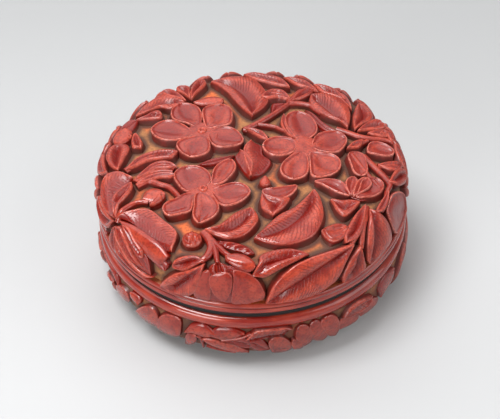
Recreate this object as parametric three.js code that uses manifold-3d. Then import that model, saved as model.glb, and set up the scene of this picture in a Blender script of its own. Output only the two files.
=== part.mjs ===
// Round lidded seal box: wood panels and hoops, black lacquer linings and two carved red lacquer coats.
// Millimetres, +Z up. The origin is the centre of the ring that the foot stands on, and the front is at -Y.
import * as THREE from 'three';
import { mergeVertices } from 'three/addons/utils/BufferGeometryUtils.js';
import Module from 'manifold-3d';

const wasm = await Module();
wasm.setup();

// Outer form of the carving, which the ground of the carving follows one relief depth further in
const BOX_HEIGHT = 34.6;
const SEAM_RADIUS = 37.5;
const LID_BULGE = 0.5;
const BASE_BULGE = 0.9;
const DOME_DROP = 2.0;
const SHOULDER_REACH = 4.2;
const FOOT_INSET = 5.5;
const SEAM_SHARE = 0.526;
const SHOULDER_FOOT_SHARE = 0.317;
const BELLY_SHARE = 0.604;
const SEAM_HEIGHT = BOX_HEIGHT * SEAM_SHARE;
const SHOULDER_FOOT_HEIGHT = SEAM_HEIGHT + (BOX_HEIGHT - SEAM_HEIGHT) * SHOULDER_FOOT_SHARE;
const BELLY_HEIGHT = SEAM_HEIGHT * BELLY_SHARE;
const WIDEST_RADIUS = SEAM_RADIUS + LID_BULGE;
const BELLY_RADIUS = SEAM_RADIUS + BASE_BULGE;
const BELLY_FOOT_RADIUS = SEAM_RADIUS - FOOT_INSET;

// Lacquer coats
const RELIEF_DEPTH = 2.4;
const COAT_THICKNESS = 0.9;
const LID_BEAD_HEIGHT = 2.4;
const LID_BEAD_INSET = 0.2;
const BASE_BEAD_HEIGHT = 3.5;
const BEAD_GROOVE_DEPTH = 0.35;
const SEAM_ROUNDING = 0.75;
const SEAM_GAP_DEPTH = 1.3;
const BLACK_THICKNESS = 0.45;

// Wood core, which fills the coats from the outside in
const FIT_CLEARANCE = 0.3;
const LID_HOOP_THICKNESS = 1.85;
const HOOP_CHAMFER = 0.7;
const LIP_THICKNESS = 1.4;
const LIP_ROUNDING = 0.4;
const LIP_RISE_SHARE = 0.51;
const LID_PANEL_FLAT_RADIUS = 14.0;
const LID_PANEL_THICKNESS = 3.6;
const LID_PANEL_EDGE_DROP = 2.5;
const PANEL_BEDDING = 0.2;
const FLOOR_THICKNESS = 2.0;
const FOOT_WIDTH = 2.9;
const FOOT_ROUNDING = 0.5;

// Carving
const STEM_WIDTH = 1.5;
const MOTIF_SINK = 0.55;
const LOW_RELIEF_HEIGHT = 6.0;
const RIM_LEAF_WIDTH = 6.5;
const FACET_LENGTH = 5.6;
const FEWEST_STATIONS = 2;
const MOST_STATIONS = 5;
const TURN = Math.PI * 2;
const AROUND = 40;
const CURVE_STEPS = 24;

// Where the ground of each coat is cut into rows, as shares of the length along its form.
const LID_GROUND_SHARES = [0, 0.5, 0.66, 0.74, 0.81, 0.9];
const BASE_GROUND_SHARES = [0, 0.12, 0.32, 0.65];
const BASE_WALL_SHARES = [0.25, 0.5, 0.7];

// Where the two beads turn, as shares of their heights.
const LID_BEAD_SHARES = { roll: 0.65 };
const BASE_BEAD_SHARES = { roll: 0.22, groove: 0.5, upper: 0.62 };

// Section of a stem: how high its shoulders and ridge stand, and where they are as shares of its width.
const STEM_RISE_SHARES = [0.55, 0.85, 0.55];
const STEM_OFFSET_SHARES = [-0.5, -0.42, 0, 0.42, 0.5];

// How high each kind of motif stands at its left edge, spine and right edge, from 0 at the ground to 1.
const RISE_SHARES = {
  boss: [0.85, 1.0, 0.85],
  leaf: [0.9, 0.5, 0.9],
  petal: [1.0, 0.55, 1.0],
  bud: [0.45, 1.0, 0.45],
  foldleft: [1.0, 0.8, 0.4],
  foldright: [0.4, 0.8, 1.0],
  low: [0.65, 0.35, 0.65],
};

// Lid carving, read off a flat map of the lid in which the distance from the centre is the length along the
// surface. A row is the kind, the left edge from base to tip, then the right edge between them: x, y, x, y.
const LID_MOTIF_SHARES = [
  // open blossom at the upper left
  ['petal', [-0.252, 0.204, -0.304, 0.248, -0.364, 0.276, -0.388, 0.32, -0.386, 0.38, -0.348, 0.428],
    [-0.238, 0.252, -0.238, 0.32, -0.252, 0.372, -0.292, 0.412]],
  ['petal', [-0.216, 0.196, -0.226, 0.252, -0.234, 0.312, -0.23, 0.364, -0.19, 0.386, -0.134, 0.396],
    [-0.16, 0.204, -0.098, 0.22, -0.086, 0.292, -0.092, 0.352]],
  ['petal', [-0.206, 0.172, -0.172, 0.198, -0.12, 0.204, -0.08, 0.188, -0.052, 0.152, -0.03, 0.1],
    [-0.204, 0.128, -0.192, 0.08, -0.15, 0.048, -0.09, 0.052, -0.04, 0.066]],
  ['petal', [-0.234, 0.156, -0.202, 0.12, -0.194, 0.06, -0.2, 0.016, -0.24, -0.012, -0.292, -0.02],
    [-0.284, 0.132, -0.344, 0.116, -0.358, 0.078, -0.332, 0.02]],
  ['petal', [-0.264, 0.176, -0.284, 0.148, -0.34, 0.122, -0.406, 0.126, -0.46, 0.158, -0.49, 0.22],
    [-0.284, 0.192, -0.316, 0.228, -0.376, 0.278, -0.416, 0.284, -0.46, 0.264]],
  // open blossom at the right
  ['petal', [0.246, 0.084, 0.2, 0.12, 0.176, 0.18, 0.168, 0.24, 0.184, 0.3, 0.23, 0.328],
    [0.306, 0.128, 0.326, 0.18, 0.316, 0.24, 0.284, 0.3]],
  ['petal', [0.224, 0.044, 0.2, -0.004, 0.15, -0.024, 0.096, -0.022, 0.068, 0.006, 0.052, 0.048],
    [0.21, 0.092, 0.16, 0.114, 0.11, 0.112, 0.072, 0.09]],
  ['petal', [0.286, 0.044, 0.306, 0.112, 0.336, 0.148, 0.38, 0.162, 0.428, 0.164, 0.464, 0.124],
    [0.34, 0.004, 0.412, 0.004, 0.446, 0.048, 0.464, 0.084]],
  ['petal', [0.276, 0.016, 0.34, -0.004, 0.396, -0.018, 0.424, -0.064, 0.418, -0.12],
    [0.276, -0.09, 0.278, -0.176, 0.32, -0.178, 0.38, -0.162]],
  ['petal', [0.246, 0.018, 0.268, -0.03, 0.27, -0.1, 0.256, -0.164, 0.2, -0.198],
    [0.188, -0.028, 0.148, -0.076, 0.134, -0.132, 0.156, -0.178]],
  // open blossom at the lower left
  ['petal', [-0.244, -0.232, -0.3, -0.252, -0.34, -0.2, -0.366, -0.136, -0.352, -0.096, -0.312, -0.072],
    [-0.204, -0.22, -0.186, -0.18, -0.2, -0.124, -0.248, -0.08]],
  ['petal', [-0.196, -0.212, -0.184, -0.16, -0.176, -0.108, -0.14, -0.06, -0.094, -0.036],
    [-0.14, -0.212, -0.11, -0.18, -0.08, -0.132, -0.07, -0.08]],
  ['petal', [-0.198, -0.24, -0.164, -0.232, -0.116, -0.212, -0.07, -0.204, -0.026, -0.224, 0, -0.268],
    [-0.172, -0.31, -0.136, -0.356, -0.072, -0.344, -0.024, -0.308]],
  ['petal', [-0.228, -0.252, -0.192, -0.28, -0.16, -0.324, -0.152, -0.38, -0.18, -0.428, -0.246, -0.464],
    [-0.258, -0.26, -0.266, -0.3, -0.266, -0.35, -0.272, -0.41]],
  ['petal', [-0.26, -0.256, -0.272, -0.32, -0.276, -0.376, -0.33, -0.39, -0.39, -0.4, -0.414, -0.352],
    [-0.29, -0.258, -0.32, -0.268, -0.352, -0.292, -0.4, -0.316]],
  // leaves round the middle and the back
  ['leaf', [0.008, 0.292, -0.032, 0.352, -0.072, 0.428, -0.108, 0.504, -0.152, 0.568, -0.198, 0.61],
    [0.072, 0.368, 0.092, 0.44, 0.068, 0.54, 0.008, 0.632, -0.1, 0.652]],
  ['leaf', [0.472, 0.192, 0.444, 0.244, 0.38, 0.284, 0.332, 0.34, 0.3, 0.412, 0.308, 0.472],
    [0.488, 0.26, 0.492, 0.344, 0.464, 0.428, 0.388, 0.492]],
  ['leaf', [0.508, 0.184, 0.504, 0.24, 0.512, 0.308, 0.528, 0.372, 0.544, 0.412],
    [0.548, 0.232, 0.592, 0.272, 0.604, 0.32, 0.58, 0.376]],
  ['foldleft', [-0.052, 0.024, -0.02, -0.01, 0.008, -0.08, -0.006, -0.164],
    [-0.076, -0.01, -0.052, -0.08, -0.028, -0.136]],
  ['foldright', [0.004, 0.096, 0.052, 0.068, 0.058, 0.004, 0.094, -0.048, 0.06, -0.12, -0.002, -0.164],
    [-0.028, 0.048, -0.032, -0.02, -0.016, -0.1]],
  ['petal', [0.04, -0.24, 0.092, -0.248, 0.16, -0.236, 0.22, -0.22],
    [0.068, -0.32, 0.148, -0.316, 0.196, -0.28]],
  ['leaf', [0.044, -0.284, 0.12, -0.308, 0.172, -0.312, 0.14, -0.376, 0.092, -0.42],
    [0.04, -0.332, 0.052, -0.384]],
  ['leaf', [0.286, -0.252, 0.312, -0.3, 0.324, -0.392, 0.308, -0.472, 0.26, -0.548, 0.16, -0.592,
    0.072, -0.584, 0.004, -0.552], [0.248, -0.308, 0.196, -0.368, 0.124, -0.416, 0.06, -0.488]],
  ['leaf', [-0.22, -0.492, -0.164, -0.48, -0.12, -0.444, -0.072, -0.398, -0.006, -0.368],
    [-0.172, -0.528, -0.108, -0.552, -0.036, -0.532, 0.018, -0.464, 0.022, -0.412]],
  ['leaf', [-0.566, 0.34, -0.532, 0.42, -0.476, 0.488, -0.424, 0.52, -0.368, 0.488, -0.324, 0.436],
    [-0.51, 0.374, -0.452, 0.404, -0.412, 0.392, -0.38, 0.39]],
  ['leaf', [-0.564, 0.318, -0.52, 0.34, -0.488, 0.37, -0.452, 0.38, -0.436, 0.346],
    [-0.532, 0.312, -0.48, 0.308, -0.436, 0.312]],
  ['leaf', [-0.296, 0.456, -0.326, 0.496, -0.366, 0.544, -0.366, 0.58], [-0.3, 0.51, -0.308, 0.572]],
  ['leaf', [-0.29, 0.448, -0.298, 0.52, -0.284, 0.59, -0.256, 0.628, -0.224, 0.626],
    [-0.272, 0.496, -0.24, 0.548, -0.22, 0.592]],
  ['bud', [-0.288, 0.418, -0.252, 0.448, -0.2, 0.47, -0.152, 0.46, -0.126, 0.436],
    [-0.24, 0.4, -0.18, 0.402, -0.134, 0.412]],
  // left side
  ['bud', [-0.628, 0.128, -0.672, 0.152, -0.676, 0.2, -0.656, 0.24, -0.612, 0.256],
    [-0.596, 0.156, -0.578, 0.2, -0.584, 0.24]],
  ['leaf', [-0.632, -0.06, -0.656, -0.04, -0.688, 0.01, -0.704, 0.06, -0.688, 0.112, -0.648, 0.136],
    [-0.608, 0.02, -0.588, 0.084, -0.6, 0.124]],
  ['leaf', [-0.68, -0.072, -0.74, -0.05, -0.78, 0.03, -0.78, 0.09, -0.752, 0.12],
    [-0.704, -0.02, -0.72, 0.048, -0.728, 0.092]],
  ['foldleft', [-0.656, -0.36, -0.712, -0.29, -0.736, -0.19, -0.704, -0.104, -0.632, -0.072, -0.56, -0.124],
    [-0.652, -0.28, -0.64, -0.212, -0.6, -0.16]],
  ['leaf', [-0.644, -0.364, -0.656, -0.29, -0.632, -0.216, -0.564, -0.152],
    [-0.62, -0.304, -0.576, -0.236, -0.558, -0.188]],
  ['leaf', [-0.67, -0.368, -0.76, -0.36, -0.83, -0.29, -0.84, -0.21, -0.81, -0.14],
    [-0.708, -0.312, -0.752, -0.232, -0.768, -0.168]],
  ['foldleft', [-0.652, -0.372, -0.568, -0.346, -0.48, -0.346, -0.408, -0.42, -0.344, -0.508,
    -0.372, -0.612, -0.44, -0.67], [-0.58, -0.416, -0.548, -0.492, -0.5, -0.58]],
  ['leaf', [-0.63, -0.405, -0.59, -0.448, -0.565, -0.52, -0.56, -0.61],
    [-0.635, -0.49, -0.61, -0.58]],
  ['leaf', [-0.68, -0.412, -0.68, -0.5, -0.648, -0.6, -0.592, -0.672, -0.54, -0.7],
    [-0.76, -0.48, -0.72, -0.58, -0.64, -0.67]],
  ['bud', [-0.508, -0.28, -0.5, -0.224, -0.466, -0.204, -0.42, -0.216, -0.4, -0.252],
    [-0.48, -0.292, -0.44, -0.298, -0.408, -0.28]],
  // front
  ['bud', [-0.274, -0.5, -0.306, -0.508, -0.322, -0.544, -0.302, -0.586, -0.274, -0.592],
    [-0.24, -0.512, -0.228, -0.548, -0.244, -0.584]],
  ['bud', [-0.132, -0.648, -0.088, -0.636, -0.04, -0.644, 0, -0.68, 0.012, -0.72],
    [-0.112, -0.692, -0.068, -0.732, -0.02, -0.752]],
  ['leaf', [-0.22, -0.676, -0.272, -0.696, -0.332, -0.712, -0.392, -0.688],
    [-0.26, -0.644, -0.32, -0.644, -0.372, -0.66]],
  ['leaf', [-0.22, -0.688, -0.26, -0.76, -0.32, -0.82, -0.4, -0.84, -0.492, -0.808, -0.54, -0.768],
    [-0.3, -0.712, -0.4, -0.72, -0.5, -0.74]],
  ['petal', [-0.2, -0.72, -0.216, -0.8, -0.244, -0.864, -0.292, -0.868],
    [-0.25, -0.732, -0.3, -0.78, -0.33, -0.84]],
  ['petal', [-0.12, -0.736, -0.1, -0.772, -0.12, -0.832, -0.154, -0.88],
    [-0.212, -0.752, -0.212, -0.812, -0.188, -0.86]],
  ['petal', [-0.1, -0.728, -0.03, -0.748, 0.024, -0.8, 0.052, -0.86, -0.04, -0.896],
    [-0.096, -0.78, -0.112, -0.84, -0.12, -0.888]],
  ['leaf', [-0.008, -0.764, 0.024, -0.7, 0.032, -0.656, 0.092, -0.628, 0.172, -0.62, 0.252, -0.652],
    [0.048, -0.772, 0.12, -0.732, 0.2, -0.684]],
  ['leaf', [0.468, -0.576, 0.452, -0.66, 0.428, -0.752, 0.352, -0.84, 0.232, -0.892,
    0.14, -0.908, 0.06, -0.908], [0.352, -0.632, 0.252, -0.676, 0.172, -0.728, 0.1, -0.812]],
  // right side
  ['petal', [0.284, -0.192, 0.348, -0.184, 0.42, -0.198, 0.44, -0.248, 0.456, -0.3],
    [0.328, -0.224, 0.392, -0.272]],
  ['leaf', [0.496, -0.332, 0.464, -0.38, 0.42, -0.42, 0.388, -0.392, 0.372, -0.352, 0.36, -0.316],
    [0.452, -0.32, 0.408, -0.324]],
  ['bud', [0.44, -0.484, 0.432, -0.532, 0.388, -0.568, 0.34, -0.572, 0.304, -0.508],
    [0.412, -0.468, 0.372, -0.468, 0.332, -0.488]],
  ['bud', [0.5, 0.028, 0.46, 0, 0.47, -0.072, 0.484, -0.144, 0.516, -0.16],
    [0.538, 0, 0.548, -0.072, 0.544, -0.14]],
  ['petal', [0.456, -0.3, 0.436, -0.24, 0.444, -0.184, 0.476, -0.16], [0.48, -0.24, 0.496, -0.184]],
  ['petal', [0.472, -0.304, 0.5, -0.24, 0.52, -0.178, 0.58, -0.158],
    [0.564, -0.292, 0.608, -0.248, 0.62, -0.192]],
  ['leaf', [0.52, 0.172, 0.548, 0.216, 0.588, 0.26, 0.62, 0.276, 0.652, 0.26],
    [0.56, 0.184, 0.62, 0.196, 0.66, 0.22]],
  ['bud', [0.552, 0.016, 0.56, 0.06, 0.58, 0.094, 0.628, 0.092, 0.668, 0.068, 0.692, 0.032],
    [0.596, 0, 0.64, -0.008, 0.676, 0]],
  ['leaf', [0.536, -0.372, 0.62, -0.4, 0.72, -0.432, 0.772, -0.472, 0.712, -0.568, 0.632, -0.632],
    [0.536, -0.452, 0.556, -0.548, 0.592, -0.616]],
  ['leaf', [0.508, -0.58, 0.568, -0.628, 0.612, -0.66, 0.572, -0.728, 0.492, -0.768],
    [0.48, -0.652, 0.464, -0.728]],
  ['leaf', [0.632, -0.368, 0.648, -0.28, 0.712, -0.224, 0.78, -0.208, 0.83, -0.24],
    [0.692, -0.41, 0.772, -0.412, 0.82, -0.332]],
  ['leaf', [0.64, -0.192, 0.672, -0.12, 0.72, -0.072, 0.77, -0.06], [0.7, -0.192, 0.768, -0.128]],
  ['leaf', [0.7, 0.1, 0.74, 0.08, 0.8, 0.03, 0.82, -0.05], [0.7, 0.03, 0.75, -0.03]],
];

// Lid stems: the path, then the width as a share of the usual stem.
const LID_STEM_SHARES = [
  [[-0.032, 0.188, 0.032, 0.236, 0.1, 0.296, 0.16, 0.36, 0.198, 0.408], 1],
  [[0.198, 0.406, 0.248, 0.404, 0.3, 0.388], 1],
  [[0.2, 0.412, 0.228, 0.468, 0.256, 0.512, 0.312, 0.528], 0.9],
  [[0.202, 0.416, 0.188, 0.452, 0.152, 0.486, 0.11, 0.492], 1],
  [[-0.032, 0.19, 0.028, 0.168, 0.08, 0.12], 0.9],
  [[0.456, 0.18, 0.52, 0.148, 0.57, 0.134, 0.64, 0.128, 0.7, 0.11], 1],
  [[0.536, -0.004, 0.58, -0.072, 0.628, -0.148, 0.65, -0.2, 0.632, -0.25, 0.622, -0.34, 0.6, -0.38], 1.1],
  [[0.524, -0.352, 0.512, -0.428, 0.51, -0.508, 0.528, -0.588], 1.1],
  [[0.508, -0.44, 0.476, -0.54, 0.45, -0.6], 1],
  [[-0.6, -0.062, -0.55, -0.024, -0.49, 0.02, -0.43, 0.042, -0.36, 0.034], 1.1],
  [[-0.548, -0.148, -0.512, -0.1, -0.47, -0.064, -0.41, -0.042, -0.36, -0.08], 1.1],
  [[-0.54, -0.176, -0.484, -0.148, -0.43, -0.176, -0.386, -0.2, -0.35, -0.248, -0.33, -0.284], 1],
  [[-0.636, -0.372, -0.58, -0.31, -0.53, -0.284, -0.48, -0.288], 1],
  [[-0.216, -0.5, -0.188, -0.552, -0.186, -0.6, -0.212, -0.652, -0.236, -0.68], 1],
  [[-0.184, -0.552, -0.148, -0.6, -0.112, -0.64, -0.072, -0.66], 0.9],
];

// Raised buttons at the middle of the two blossoms on the left and on the folded flower.
const LID_BOSS_SHARES = [[-0.234, 0.184, 0.024], [-0.224, -0.236, 0.022], [-0.588, 0.178, 0.013]];

// Leaves round the back of the lid: polar direction as a share of a turn and the slant of the leaf.
const LID_RIM_SHARES = { from: 0.05, to: 0.45, count: 10, slant: 0.022, tip: 0.71, foot: 0.915 };
const RIM_LEAF_SHARES = [[0.25, 0.85], [0.5, 1], [0.78, 0.6]];

// Base carving on a strip: x is a share of a turn from the front, y a share of the carved height.
const BASE_MOTIF_SHARES = [
  ['leaf', [-0.167, 0.932, -0.169, 0.71, -0.179, 0.432, -0.197, 0.25, -0.222, 0.261],
    [-0.189, 0.94, -0.214, 0.795, -0.228, 0.511]],
  ['leaf', [-0.151, 0.886, -0.149, 0.67, -0.161, 0.386, -0.174, 0.227, -0.19, 0.21],
    [-0.163, 0.76, -0.177, 0.466, -0.187, 0.307]],
  ['leaf', [-0.117, 0.841, -0.111, 0.568, -0.121, 0.284, -0.136, 0.114, -0.15, 0.148],
    [-0.129, 0.648, -0.142, 0.398, -0.15, 0.25]],
  ['leaf', [-0.094, 0.091, -0.107, 0.284, -0.106, 0.568, -0.094, 0.83, -0.083, 0.875, -0.074, 0.93],
    [-0.083, 0.227, -0.077, 0.489, -0.073, 0.739]],
  ['leaf', [-0.069, 0.716, -0.064, 0.841, -0.056, 0.903, -0.047, 0.86, -0.041, 0.8],
    [-0.058, 0.69, -0.047, 0.7]],
  ['leaf', [-0.044, 0.727, -0.036, 0.852, -0.028, 0.915, -0.019, 0.9, -0.012, 0.87],
    [-0.032, 0.69, -0.021, 0.75]],
  ['leaf', [-0.007, 0.716, 0.001, 0.875, 0.014, 0.92, 0.028, 0.92, 0.034, 0.852],
    [0.006, 0.71, 0.018, 0.74, 0.029, 0.739]],
  ['petal', [-0.003, 0.625, -0.01, 0.4, -0.009, 0.17, 0, 0.06], [0.011, 0.49, 0.011, 0.17]],
  ['petal', [0.025, 0.74, 0.015, 0.648, 0.014, 0.341, 0.013, 0.136, 0.019, 0.06],
    [0.036, 0.568, 0.038, 0.284, 0.028, 0.091]],
  ['leaf', [0.043, 0.93, 0.041, 0.682, 0.046, 0.398, 0.054, 0.17, 0.067, 0.114],
    [0.052, 0.795, 0.061, 0.511, 0.069, 0.227]],
  ['leaf', [0.061, 0.93, 0.061, 0.739, 0.069, 0.489, 0.079, 0.25, 0.089, 0.17],
    [0.075, 0.93, 0.084, 0.761, 0.085, 0.455, 0.09, 0.284]],
  ['leaf', [0.093, 0.739, 0.1, 0.886, 0.114, 0.932, 0.125, 0.875], [0.106, 0.716, 0.119, 0.739]],
  ['leaf', [0.089, 0.682, 0.088, 0.489, 0.1, 0.261, 0.111, 0.114, 0.122, 0.091],
    [0.106, 0.591, 0.117, 0.375, 0.125, 0.17]],
  ['leaf', [0.122, 0.795, 0.119, 0.591, 0.131, 0.307, 0.142, 0.125, 0.153, 0.102],
    [0.136, 0.659, 0.147, 0.398, 0.156, 0.193]],
  ['leaf', [0.147, 0.875, 0.147, 0.568, 0.163, 0.284, 0.183, 0.148, 0.206, 0.17],
    [0.169, 0.93, 0.189, 0.659, 0.203, 0.375]],
  ['leaf', [0.178, 0.93, 0.194, 0.659, 0.219, 0.375, 0.239, 0.341], [0.206, 0.93, 0.231, 0.716]],
];

const BASE_STEM_SHARES = [
  [[-0.071, 0.45, -0.073, 0.6, -0.066, 0.68, -0.058, 0.64, -0.055, 0.5, -0.057, 0.28, -0.061, 0.1], 0.9],
  [[-0.052, 0.67, -0.039, 0.59, -0.022, 0.47, -0.008, 0.35], 1.1],
  [[-0.048, 0.5, -0.036, 0.38, -0.024, 0.2], 1],
];

// One repeat of the carving round the hidden side of the base: two petals and two slanting leaves.
const BASE_REPEAT_SHARES = [
  ['petal', [0, 0.15, -0.018, 0.45, -0.022, 0.75, -0.012, 0.9], [0.002, 0.4, 0, 0.75]],
  ['petal', [0.003, 0.15, 0.006, 0.4, 0.006, 0.75, 0.014, 0.9], [0.018, 0.35, 0.026, 0.68]],
  ['leaf', [-0.008, 0.12, -0.026, 0.16, -0.04, 0.4, -0.046, 0.66], [-0.018, 0.28, -0.028, 0.56]],
  ['leaf', [0.012, 0.12, 0.022, 0.3, 0.032, 0.55, 0.044, 0.85], [0.03, 0.1, 0.042, 0.3, 0.048, 0.6]],
];
const BASE_REPEAT_SPAN_SHARES = { from: 0.295, to: 0.712, count: 5 };

const RED = new THREE.MeshStandardMaterial({ color: 0xa33a33, roughness: 0.38, metalness: 0 });
const BLACK = new THREE.MeshStandardMaterial({ color: 0x17120f, roughness: 0.25, metalness: 0 });
const WOOD = new THREE.MeshStandardMaterial({ color: 0x9a734b, roughness: 0.75, metalness: 0 });
const BLACKED_WOOD = new THREE.MeshStandardMaterial({ color: 0x241c18, roughness: 0.3, metalness: 0 });

function facingOut(geometry) {
  const place = geometry.attributes.position;
  const order = geometry.index.array;
  const a = new THREE.Vector3();
  const b = new THREE.Vector3();
  const c = new THREE.Vector3();
  let volume = 0;
  for (let i = 0; i < order.length; i += 3) {
    a.fromBufferAttribute(place, order[i]);
    b.fromBufferAttribute(place, order[i + 1]);
    c.fromBufferAttribute(place, order[i + 2]);
    volume += a.dot(b.cross(c));
  }
  if (volume < 0) {
    for (let i = 0; i < order.length; i += 3) {
      const first = order[i];
      order[i] = order[i + 1];
      order[i + 1] = first;
    }
  }
  return geometry;
}

function welded(geometry) {
  const plain = new THREE.BufferGeometry();
  plain.setAttribute('position', geometry.getAttribute('position'));
  if (geometry.index) {
    plain.setIndex(geometry.index);
  }
  const joined = mergeVertices(plain);
  const kept = [];
  const order = joined.index.array;
  for (let i = 0; i < order.length; i += 3) {
    const [a, b, c] = [order[i], order[i + 1], order[i + 2]];
    if (a !== b && b !== c && c !== a) {
      kept.push(a, b, c);
    }
  }
  joined.setIndex(kept);
  return facingOut(joined);
}

// Turns [radius, height] pairs about +Z. The profile starts and ends on the axis, or closes on itself.
function turned(profile) {
  const line = profile.map(([radius, height]) => new THREE.Vector2(radius, height));
  const lathe = new THREE.LatheGeometry(line, AROUND);
  lathe.rotateX(Math.PI / 2);
  return welded(lathe);
}

function solidOf(geometry) {
  const made = new wasm.Mesh({
    numProp: 3,
    vertProperties: geometry.attributes.position.array,
    triVerts: new Uint32Array(geometry.index.array),
  });
  return new wasm.Manifold(made);
}

function geometryOf(solid) {
  const { vertProperties, triVerts } = solid.getMesh();
  const geometry = new THREE.BufferGeometry();
  geometry.setAttribute('position', new THREE.BufferAttribute(vertProperties, 3));
  geometry.setIndex(new THREE.BufferAttribute(triVerts, 1));
  return welded(geometry);
}

// Half profiles of the carving's outer form, as [radius, height] pairs from the top or the foot to the seam.
function lidForm() {
  const points = [];
  const flat = WIDEST_RADIUS - SHOULDER_REACH;
  for (let i = 0; i <= CURVE_STEPS; i += 1) {
    const share = i / CURVE_STEPS;
    points.push([flat * share, BOX_HEIGHT - DOME_DROP * share * share]);
  }
  const rise = BOX_HEIGHT - DOME_DROP - SHOULDER_FOOT_HEIGHT;
  for (let i = 1; i <= CURVE_STEPS; i += 1) {
    const turn = (Math.PI / 2) * (1 - i / CURVE_STEPS);
    points.push([flat + SHOULDER_REACH * Math.cos(turn), SHOULDER_FOOT_HEIGHT + rise * Math.sin(turn)]);
  }
  points.push([SEAM_RADIUS, SEAM_HEIGHT]);
  return points;
}

function baseForm() {
  const points = [];
  for (let i = 0; i <= CURVE_STEPS; i += 1) {
    const turn = (Math.PI / 2) * (i / CURVE_STEPS);
    const radius = BELLY_FOOT_RADIUS + (BELLY_RADIUS - BELLY_FOOT_RADIUS) * Math.sin(turn);
    points.push([radius, BELLY_HEIGHT * (1 - Math.cos(turn))]);
  }
  for (let i = 1; i <= CURVE_STEPS; i += 1) {
    const share = i / CURVE_STEPS;
    const radius = BELLY_RADIUS + (SEAM_RADIUS - BELLY_RADIUS) * share * share;
    points.push([radius, BELLY_HEIGHT + (SEAM_HEIGHT - BELLY_HEIGHT) * share]);
  }
  return points;
}

// The length along a form from its first point to each of its points.
function lengthsAlong(points) {
  const lengths = [0];
  for (let i = 1; i < points.length; i += 1) {
    const step = Math.hypot(points[i][0] - points[i - 1][0], points[i][1] - points[i - 1][1]);
    lengths.push(lengths[i - 1] + step);
  }
  return lengths;
}

// Reads a form at a length along it: the point that lies that far under the surface there.
function reader(points, side) {
  const lengths = lengthsAlong(points);
  const at = (length) => {
    let i = 1;
    while (i < points.length - 1 && lengths[i] < length) {
      i += 1;
    }
    const share = (length - lengths[i - 1]) / (lengths[i] - lengths[i - 1]);
    const mix = (k) => points[i - 1][k] + (points[i][k] - points[i - 1][k]) * share;
    return [mix(0), mix(1)];
  };
  const total = lengths[lengths.length - 1];
  const probe = total / (CURVE_STEPS * CURVE_STEPS);
  return (length, inset) => {
    const [radius, height] = at(length);
    const [r0, z0] = at(Math.max(0, length - probe));
    const [r1, z1] = at(Math.min(total, length + probe));
    const run = Math.hypot(r1 - r0, z1 - z0);
    const out = [(side * (z1 - z0)) / run, (-side * (r1 - r0)) / run];
    return [radius - out[0] * inset, height - out[1] * inset];
  };
}

const lidAt = reader(lidForm(), -1);
const baseAt = reader(baseForm(), 1);

// Sizes of the two flat maps: the lid's reaches the seam, and the base's strip ends at its bead.
const LID_MAP_RADIUS = lengthsAlong(lidForm()).pop();
const BASE_MAP_RADIUS = BELLY_RADIUS;
const BASE_MAP_HEIGHT = lengthsAlong(baseForm()).pop() - BASE_BEAD_HEIGHT;

// Puts a place on the lid's flat map on the real surface. A rise is 0 at the ground and 1 at the outer form.
function onLid(x, y, rise) {
  const length = Math.hypot(x, y);
  const [radius, height] = lidAt(length, RELIEF_DEPTH * (1 - rise));
  const turn = Math.atan2(y, x);
  return [radius * Math.cos(turn), radius * Math.sin(turn), height];
}

// The same for the strip round the base, where the carving gets lower towards the foot.
function onBase(x, y, rise) {
  const turn = x / BASE_MAP_RADIUS - Math.PI / 2;
  const low = Math.min(1, (y + LOW_RELIEF_HEIGHT / 2) / LOW_RELIEF_HEIGHT);
  const lift = rise > 0 ? rise * low : rise;
  const [radius, height] = baseAt(y, RELIEF_DEPTH * (1 - lift));
  return [radius * Math.cos(turn), radius * Math.sin(turn), height];
}

function pairs(flat, scaleX, scaleY) {
  const points = [];
  for (let i = 0; i < flat.length; i += 2) {
    points.push(new THREE.Vector2(flat[i] * scaleX, flat[i + 1] * scaleY));
  }
  return points;
}

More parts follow.
